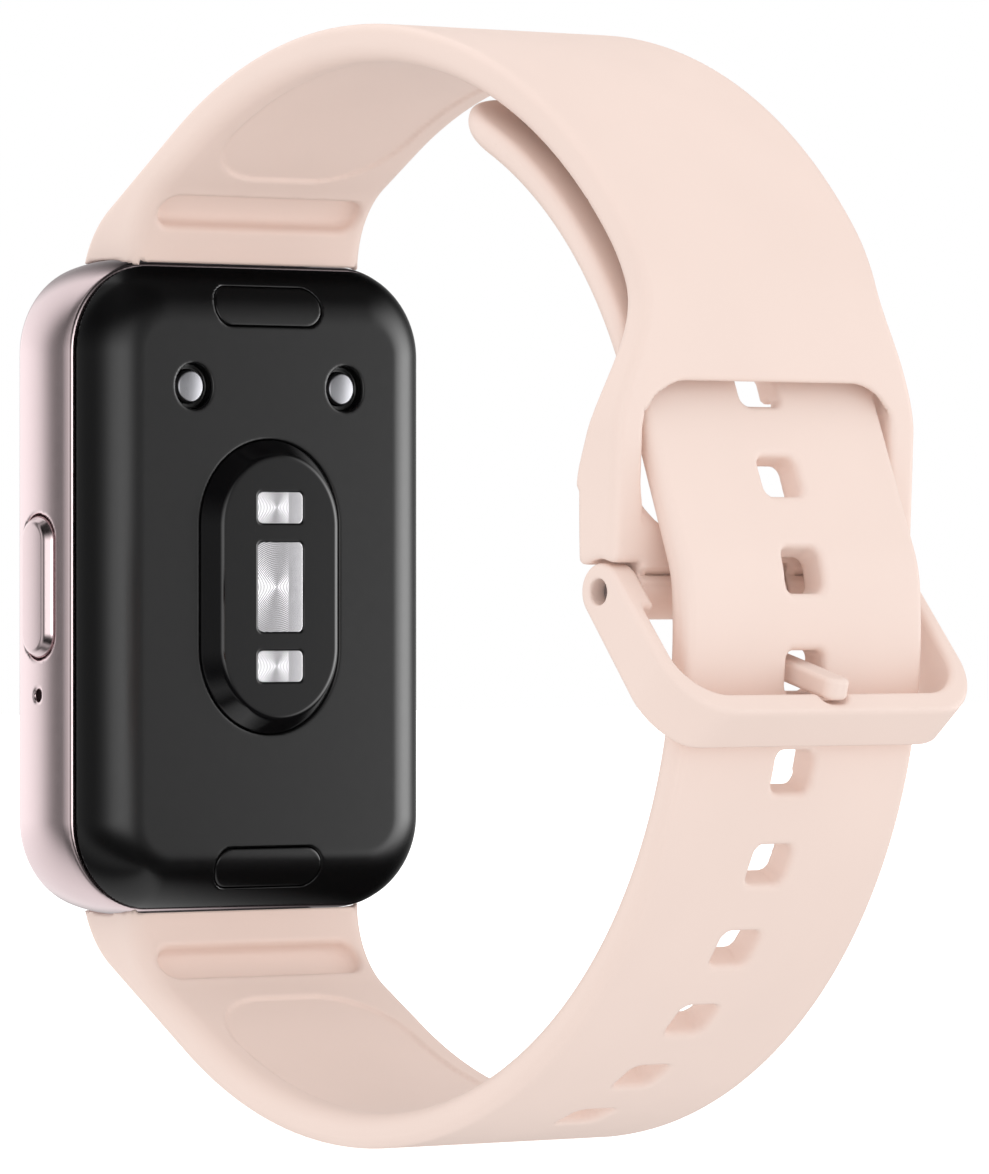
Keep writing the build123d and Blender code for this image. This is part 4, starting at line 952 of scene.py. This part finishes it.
def contact_field(x, y, z):
    """Metal pad with a slightly crowned face, and its flange behind the cover."""
    depth = BACK_X - x
    spot = np.hypot(np.abs(y) - CONTACT_Y, z - CONTACT_Z)
    crown = CONTACT_TOP + spot ** 2 / (2 * CONTACT_CROWN_R) - depth
    pad = meet(spot - CONTACT_R, crown, SOFT_EDGE_R)
    pad = both(pad, depth - COVER_WALL - PAD_OVERLAP)
    flange = both(spot - CONTACT_RIM_R, between(depth, COVER_WALL, CONTACT_FOOT))
    return either(pad, flange)


def sensor_dome_field(x, y, z):
    """The raised oval: slanted wall and flat top, hollow from behind."""
    rise = x - BACK_X
    wall = slot_field(z, y, DOME_HALF, DOME_R)
    slope = (DOME_R - DOME_TOP_R) / DOME_RISE
    slant = (wall + rise * slope) / math.hypot(1, slope)
    crown = meet(slant, rise - DOME_RISE, DOME_EDGE_R)
    body = both(crown, wall, -rise - COVER_WALL)
    flange = both(wall - DOME_FLANGE, between(-rise, COVER_WALL, DOME_FOOT))
    body = either(body, flange)
    hollow_half = DOME_HALF - DOME_R + DOME_HOLLOW_R
    hollow = both(slot_field(z, y, hollow_half, DOME_HOLLOW_R), rise - DOME_RISE + DOME_WALL)
    body = both(body, -hollow)
    for place, half in LENSES.values():
        seat = plate(z - place, y, half, LENS_HALF, LENS_R)
        body = cut(body, both(seat, -rise), LENS_SEAT_R)
    return body


def lens_field(place, half):
    """A window with fine rings in its film, and a smooth strip that rolls off at one side."""

    def field(x, y, z):
        rise = x - BACK_X - DOME_RISE + LENS_SINK
        ring = np.hypot(y - RIDGE_CENTRE_Y, z - place)
        fade = np.clip((RIDGE_END_Y - y) / RIDGE_FADE, 0.0, 1.0)
        ridges = RIDGE_HEIGHT * fade * np.cos(ring * 2 * math.pi / RIDGE_STEP)
        past = np.maximum(y - RIDGE_END_Y, 0) / (LENS_HALF - RIDGE_END_Y)
        top = rise + LENS_ROLL_OFF * past ** 2 - ridges
        side = plate(z - place, y, half - LENS_FIT, LENS_HALF - LENS_FIT, LENS_R)
        return both(meet(side, top, LENS_EDGE_R), -rise - LENS_THICKNESS + LENS_SINK)

    return field


def display_glass_field(x, y, z):
    """The flat glass with its rounded front edge."""
    depth = BACK_X - x
    body = meet(plate(y, z, *GLASS), depth - GLASS_END, GLASS_EDGE_R)
    return both(body, GLASS_START - depth)


# ---------------------------------------------------------------- materials

MOTTLE_SPREAD = 0.04
MOTTLE_SIZE = 3
GRAIN_FINENESS = 5
GRAIN_STRENGTH = 0.2
GRAIN_DEPTH = 0.004 * MM
PEACH = (0.90, 0.725, 0.65)
ROSE = (0.84, 0.685, 0.70)
COVER_BLACK = (0.0035, 0.0035, 0.0038)
SENSOR_BLACK = (0.004, 0.004, 0.0045)


def new_material(name, colour, roughness, metallic=0.0):
    """A material and its shader."""
    material = bpy.data.materials.new(name)
    material.use_nodes = True
    shader = material.node_tree.nodes["Principled BSDF"]
    shader.inputs["Base Color"].default_value = (*colour, 1.0)
    shader.inputs["Roughness"].default_value = roughness
    shader.inputs["Metallic"].default_value = metallic
    return material, shader


def add_node(material, kind, **inputs):
    """A shader node with values on its inputs; an underscore in a name stands for a space."""
    node = material.node_tree.nodes.new(kind)
    for name, value in inputs.items():
        node.inputs[name.replace("_", " ")].default_value = value
    return node


def link(material, source, target):
    """Joins an output socket to an input socket."""
    material.node_tree.links.new(source, target)


def maths(material, operation, first, second):
    """The result of a Math node; its second value may be a number or a socket."""
    node = add_node(material, "ShaderNodeMath")
    node.operation = operation
    link(material, first, node.inputs[0])
    if isinstance(second, float):
        node.inputs[1].default_value = second
    else:
        link(material, second, node.inputs[1])
    return node.outputs[0]


def noise(material, scale):
    """Noise fixed to the object, with features of 1 / scale metres."""
    place = add_node(material, "ShaderNodeTexCoord")
    node = add_node(material, "ShaderNodeTexNoise", Scale=scale)
    link(material, place.outputs["Object"], node.inputs["Vector"])
    return node


def grain(material, shader, scale, depth, strength):
    """A fine surface grain as bump."""
    bump = add_node(material, "ShaderNodeBump", Strength=strength, Distance=depth)
    link(material, noise(material, scale).outputs["Fac"], bump.inputs["Height"])
    link(material, bump.outputs["Normal"], shader.inputs["Normal"])


def mottle(material, shader, colour, spread, scale):
    """Slow colour variation round the base colour."""
    ramp = add_node(material, "ShaderNodeValToRGB")
    darker = [value * (1 - spread) for value in colour]
    lighter = [min(1.0, value * (1 + spread)) for value in colour]
    ramp.color_ramp.elements[0].position = 0.3
    ramp.color_ramp.elements[1].position = 0.7
    ramp.color_ramp.elements[0].color = (*darker, 1.0)
    ramp.color_ramp.elements[1].color = (*lighter, 1.0)
    link(material, noise(material, scale).outputs["Fac"], ramp.inputs["Fac"])
    link(material, ramp.outputs["Color"], shader.inputs["Base Color"])


def sheen_patches(material, shader, low, high, scale):
    """Roughness that drifts between two values."""
    spread = add_node(material, "ShaderNodeMapRange", To_Min=low, To_Max=high)
    link(material, noise(material, scale).outputs["Fac"], spread.inputs["Value"])
    link(material, spread.outputs["Result"], shader.inputs["Roughness"])


def silicone():
    """The strap's matt peach silicone."""
    material, shader = new_material("peach_silicone", PEACH, 0.5)
    mottle(material, shader, PEACH, spread=0.012, scale=90.0)
    sheen_patches(material, shader, low=0.5, high=0.6, scale=700.0)
    grain(material, shader, scale=9000.0, depth=0.01 * MM, strength=0.25)
    shader.inputs["Specular IOR Level"].default_value = 0.3
    return material


def rose_metal():
    """Blasted and anodised aluminium."""
    material, shader = new_material("rose_aluminium", ROSE, 0.3, 1.0)
    sheen_patches(material, shader, low=0.17, high=0.21, scale=1500.0)
    grain(material, shader, 14000.0, GRAIN_DEPTH, GRAIN_STRENGTH)
    return material


def black_cover():
    """The back cover's satin black."""
    material, shader = new_material("black_cover", COVER_BLACK, 0.22)
    sheen_patches(material, shader, low=0.2, high=0.24, scale=1200.0)
    grain(material, shader, scale=12000.0, depth=0.003 * MM, strength=0.15)
    shader.inputs["Specular IOR Level"].default_value = 0.48
    return material


def gloss_black():
    """The dark gloss of the sensor dome and the display glass."""
    material, shader = new_material("sensor_black", SENSOR_BLACK, 0.06)
    sheen_patches(material, shader, low=0.04, high=0.09, scale=900.0)
    return material


def plain(name, colour, low, high, metallic=0.0):
    """A moulded, plated or printed surface, its roughness between low and high."""
    scale = 2500.0
    material, shader = new_material(name, colour, low, metallic)
    mottle(material, shader, colour, MOTTLE_SPREAD, scale / MOTTLE_SIZE)
    sheen_patches(material, shader, low, high, scale)
    grain(material, shader, scale * GRAIN_FINENESS, GRAIN_DEPTH, GRAIN_STRENGTH)
    return material


def slot_materials():
    """One material for each of the record's material slots."""
    return {
        "strap_silicone": silicone(),
        "frame_metal": rose_metal(),
        "back_plastic": black_cover(),
        "sensor_window": gloss_black(),
        "lens_clear": plain("lens_film", (0.6, 0.59, 0.61), 0.12, 0.18, 1.0),
        "display_glass": gloss_black(),
        "display_panel": plain("display_panel", (0.01, 0.01, 0.012), 0.2, 0.3),
        "adhesive_foam": plain("adhesive_foam", (0.02, 0.02, 0.02), 0.8, 0.9),
        "seal_rubber": plain("seal_rubber", (0.03, 0.03, 0.03), 0.6, 0.7),
        "contact_metal": plain("contact_metal", (0.34, 0.34, 0.36), 0.25, 0.35, 1.0),
        "inner_plastic": plain("inner_plastic", (0.05, 0.05, 0.055), 0.45, 0.6),
        "board_green": plain("board_green", (0.01, 0.09, 0.04), 0.35, 0.5),
        "shield_steel": plain("shield_steel", (0.6, 0.6, 0.6), 0.25, 0.4, 1.0),
        "cell_wrap": plain("cell_wrap", (0.1, 0.1, 0.11), 0.3, 0.5),
        "spring_steel": plain("spring_steel", (0.55, 0.55, 0.55), 0.25, 0.35, 1.0),
        "chip_ceramic": plain("chip_ceramic", (0.03, 0.03, 0.03), 0.5, 0.6),
        "membrane_white": plain("membrane_white", (0.1, 0.1, 0.1), 0.7, 0.8),
    }


MATERIALS = slot_materials()


# ---------------------------------------------------------------- the frame's nodes

SLOTS = {part["node"]: part["material_slot"] for part in frame["record"]["subparts"]}


def node_box(node):
    """The low and high corners of a CAD node, in millimetres."""
    low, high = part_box(node)
    return [value / MM for value in low], [value / MM for value in high]


def dress_nodes():
    """Puts the slot's material on every CAD node."""
    for name, piece in frame["nodes"].items():
        for place in piece.material_slots:
            place.material = MATERIALS[SLOTS[name]]


def moulded(node, field, pitch, body="band"):
    """Replaces a CAD node by its moulded mesh, which moves with the same body."""
    piece = mould("moulded_" + node, field, *node_box(node), pitch)
    slot = SLOTS[node]
    piece.data.materials.append(MATERIALS[slot])
    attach(piece, body)
    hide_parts(node)
    return piece


def build_moulded():
    """All the moulded pieces; the last number is the mesh's pitch."""
    for node, field in (("upper_strap", upper_strap_field), ("lower_strap", lower_strap_field)):
        moulded(node, field, 0.22).visible_glossy = False
    moulded("buckle_frame", buckle_frame_field, 0.13, "buckle_frame")
    moulded("buckle_tongue", tongue_field, 0.08, "buckle_tongue")
    moulded("housing_frame", housing_field, 0.15)
    moulded("back_cover", back_cover_field, 0.13)
    moulded("display_glass", display_glass_field, 0.16)
    moulded("sensor_dome", sensor_dome_field, 0.1)
    moulded("side_button", side_button_field, 0.07, "side_button")
    for end in ("top", "bottom"):
        moulded("release_button_" + end, release_field, 0.1, "release_button_" + end)
        moulded("strap_connector_" + end, strap_connector_field, 0.15)
    for side in ("left", "right"):
        moulded("charging_contact_" + side, contact_field, 0.07)
    for name, (place, half) in LENSES.items():
        moulded(name, lens_field(place, half), 0.03)


# ---------------------------------------------------------------- studio

# The camera's distances are in millimetres, the sizes of floor, tent and lamps in metres.
CAMERA_TURN = 38.6
CAMERA_REACH = 539.5
CAMERA_SIDE = -0.23
CAMERA_LENS = 260.65
CAMERA_SENSOR = 36.0
WHITE = (1.0, 1.0, 1.0, 1.0)
WORLD_STRENGTH = 1.0
FLOOR_SIZE = 3.0
FLOOR_GREY = (0.82, 0.82, 0.82)
FLOOR_GLOW = 0.75
FLOOR_GAP = 0.05
FLOOR_LEVEL = cad_box[0][2] - FLOOR_GAP * MM
LAMP_SIZE = 0.4


def aim(piece, target):
    """Turns a camera or a lamp towards a point."""
    direction = Vector(target) - piece.location
    piece.rotation_euler = direction.to_track_quat("-Z", "Y").to_euler()


def build_camera():
    """The camera at the object's height, turned round it."""
    turn = math.radians(CAMERA_TURN)
    forward = Vector((-math.cos(turn), math.sin(turn), 0.0))
    right = Vector((math.sin(turn), math.cos(turn), 0.0))
    data = bpy.data.cameras.new("camera")
    data.lens = CAMERA_LENS
    data.sensor_width = CAMERA_SENSOR
    data.sensor_fit = "AUTO"
    camera = bpy.data.objects.new("camera", data)
    bpy.context.scene.collection.objects.link(camera)
    camera.location = (-CAMERA_REACH * forward + CAMERA_SIDE * right) * MM
    aim(camera, camera.location + forward)
    bpy.context.scene.camera = camera


def area_light(name, location, power):
    """A square lamp aimed at the middle of the wrist opening."""
    lamp = bpy.data.lights.new(name, "AREA")
    lamp.shape = "SQUARE"
    lamp.size = LAMP_SIZE
    lamp.energy = power
    piece = bpy.data.objects.new(name, lamp)
    bpy.context.scene.collection.objects.link(piece)
    piece.location = location
    aim(piece, (0.0, 0.0, 0.0))


def build_world():
    """An even white world."""
    world = bpy.data.worlds.new("studio")
    bpy.context.scene.world = world
    world.use_nodes = True
    background = world.node_tree.nodes["Background"]
    background.inputs["Color"].default_value = WHITE
    background.inputs["Strength"].default_value = WORLD_STRENGTH


def build_floor():
    """A white floor just under the object, glowing for camera, glossy and transmission rays."""
    mesh = bpy.data.meshes.new("floor")
    half = FLOOR_SIZE / 2
    outline = ((-half, -half), (half, -half), (half, half), (-half, half))
    mesh.from_pydata([(x, y, FLOOR_LEVEL) for x, y in outline], [], [(0, 1, 2, 3)])
    floor = bpy.data.objects.new("floor", mesh)
    bpy.context.scene.collection.objects.link(floor)
    material, shader = new_material("floor_white", FLOOR_GREY, roughness=0.9)
    shader.inputs["Specular IOR Level"].default_value = 0.0
    shader.inputs["Emission Color"].default_value = WHITE
    path = add_node(material, "ShaderNodeLightPath")
    seen = maths(material, "MAXIMUM", path.outputs["Is Camera Ray"], path.outputs["Is Glossy Ray"])
    seen = maths(material, "MAXIMUM", seen, path.outputs["Is Transmission Ray"])
    glow = maths(material, "MULTIPLY", seen, FLOOR_GLOW)
    link(material, glow, shader.inputs["Emission Strength"])
    mesh.materials.append(material)
    floor.visible_diffuse = False


# The studio's softboxes and dark flags, as the object's gloss shows them: the strength at each
# azimuth in degrees, counted anticlockwise from the X axis.
PANELS = (
    (-180, 1.3), (-163, 1.25), (-154, 1.1), (-148, 0.9), (-143, 0.6), (-138, 0.25), (-132, 0.12),
    (-127, 0.25), (-120, 0.5), (-110, 0.75), (-100, 0.7), (-90, 0.35), (-78, 0.24), (-62, 0.22),
    (-50, 0.5), (-40, 1.1), (-30, 2.0), (-12, 2.6), (2, 2.2), (12, 1.0), (20, 0.6), (38, 0.6),
    (44, 1.2), (52, 4.2), (68, 6.0), (84, 4.0), (96, 1.0), (108, 0.25), (122, 0.3), (138, 0.6),
    (160, 0.7), (180, 1.3),
)
BRIGHTEST_PANEL = 6.0
# What the azimuth's strength is multiplied by straight above and straight below.
ROOF_PANELS = (
    (-180, 0.7), (-110, 0.6), (-85, 0.03), (0, 0.01), (148, 0.01), (172, 0.6), (180, 0.7),
)
# Where the fades begin and are full, as shares of the tent's radius: heights above its middle
# for the roof and depths below it for the under side.
ROOF_START = -0.1
ROOF_FULL = 0.65
UNDER_START = -0.05
UNDER_FULL = 0.65
TENT_R = 0.5
TENT_SEGMENTS = 96
TENT_RINGS = 48
TENT_LIFT = 0.02


def azimuth_ramp(material, share, panels, brightest):
    """A ramp round the compass from (azimuth, strength) pairs."""
    ramp = add_node(material, "ShaderNodeValToRGB")
    elements = ramp.color_ramp.elements
    for azimuth, strength in panels:
        where = azimuth / 360 + 0.5
        if where == 0.0:
            element = elements[0]
        elif where == 1.0:
            element = elements[-1]
        else:
            element = elements.new(where)
        level = strength / brightest
        element.color = (level, level, level, 1.0)
    link(material, share, ramp.inputs["Fac"])
    return ramp.outputs["Color"]


def softbox_material():
    """Glow by azimuth, fading to the roof and to the floor."""
    material = bpy.data.materials.new("softboxes")
    material.use_nodes = True
    material.node_tree.nodes.clear()
    place = add_node(material, "ShaderNodeTexCoord")
    heading = add_node(material, "ShaderNodeVectorMath")
    heading.operation = "NORMALIZE"
    link(material, place.outputs["Object"], heading.inputs[0])
    axes = add_node(material, "ShaderNodeSeparateXYZ")
    link(material, heading.outputs[0], axes.inputs[0])
    turn = maths(material, "ARCTAN2", axes.outputs["Y"], axes.outputs["X"])
    share = add_node(material, "ShaderNodeMapRange", From_Min=-math.pi, From_Max=math.pi)
    link(material, turn, share.inputs["Value"])
    panels = azimuth_ramp(material, share.outputs["Result"], PANELS, BRIGHTEST_PANEL)
    roof = azimuth_ramp(material, share.outputs["Result"], ROOF_PANELS, 1.0)
    strength = BRIGHTEST_PANEL
    for start, full in ((ROOF_START, ROOF_FULL), (-UNDER_START, -UNDER_FULL)):
        fade = add_node(material, "ShaderNodeMapRange", From_Min=start, From_Max=full, To_Min=1.0)
        fade.interpolation_type = "SMOOTHSTEP"
        link(material, roof, fade.inputs["To Max"])
        link(material, axes.outputs["Z"], fade.inputs["Value"])
        strength = maths(material, "MULTIPLY", fade.outputs["Result"], strength)
    glow = add_node(material, "ShaderNodeEmission")
    link(material, panels, glow.inputs["Color"])
    link(material, strength, glow.inputs["Strength"])
    output = add_node(material, "ShaderNodeOutputMaterial")
    link(material, glow.outputs[0], output.inputs["Surface"])
    return material


def build_tent():
    """A round tent of softboxes and flags with a flat bottom, which only glossy rays see."""
    bpy.ops.mesh.primitive_uv_sphere_add(
        segments=TENT_SEGMENTS, ring_count=TENT_RINGS, radius=TENT_R
    )
    tent = bpy.context.object
    tent.name = "softbox_tent"
    for vertex in tent.data.vertices:
        vertex.co.z = max(vertex.co.z, FLOOR_LEVEL + TENT_LIFT * MM)
    tent.data.materials.append(softbox_material())
    tent.visible_camera = False
    tent.visible_diffuse = False
    tent.visible_shadow = False
    tent.visible_transmission = False


# ---------------------------------------------------------------- build

build_camera()
build_world()
build_floor()
build_tent()
area_light("back", (-0.4, 0.1, 0.35), power=0.5)
area_light("key", (0.1, -0.05, 0.56), power=0.3)
dress_nodes()
build_moulded()

bpy.context.scene.view_settings.view_transform = "Standard"
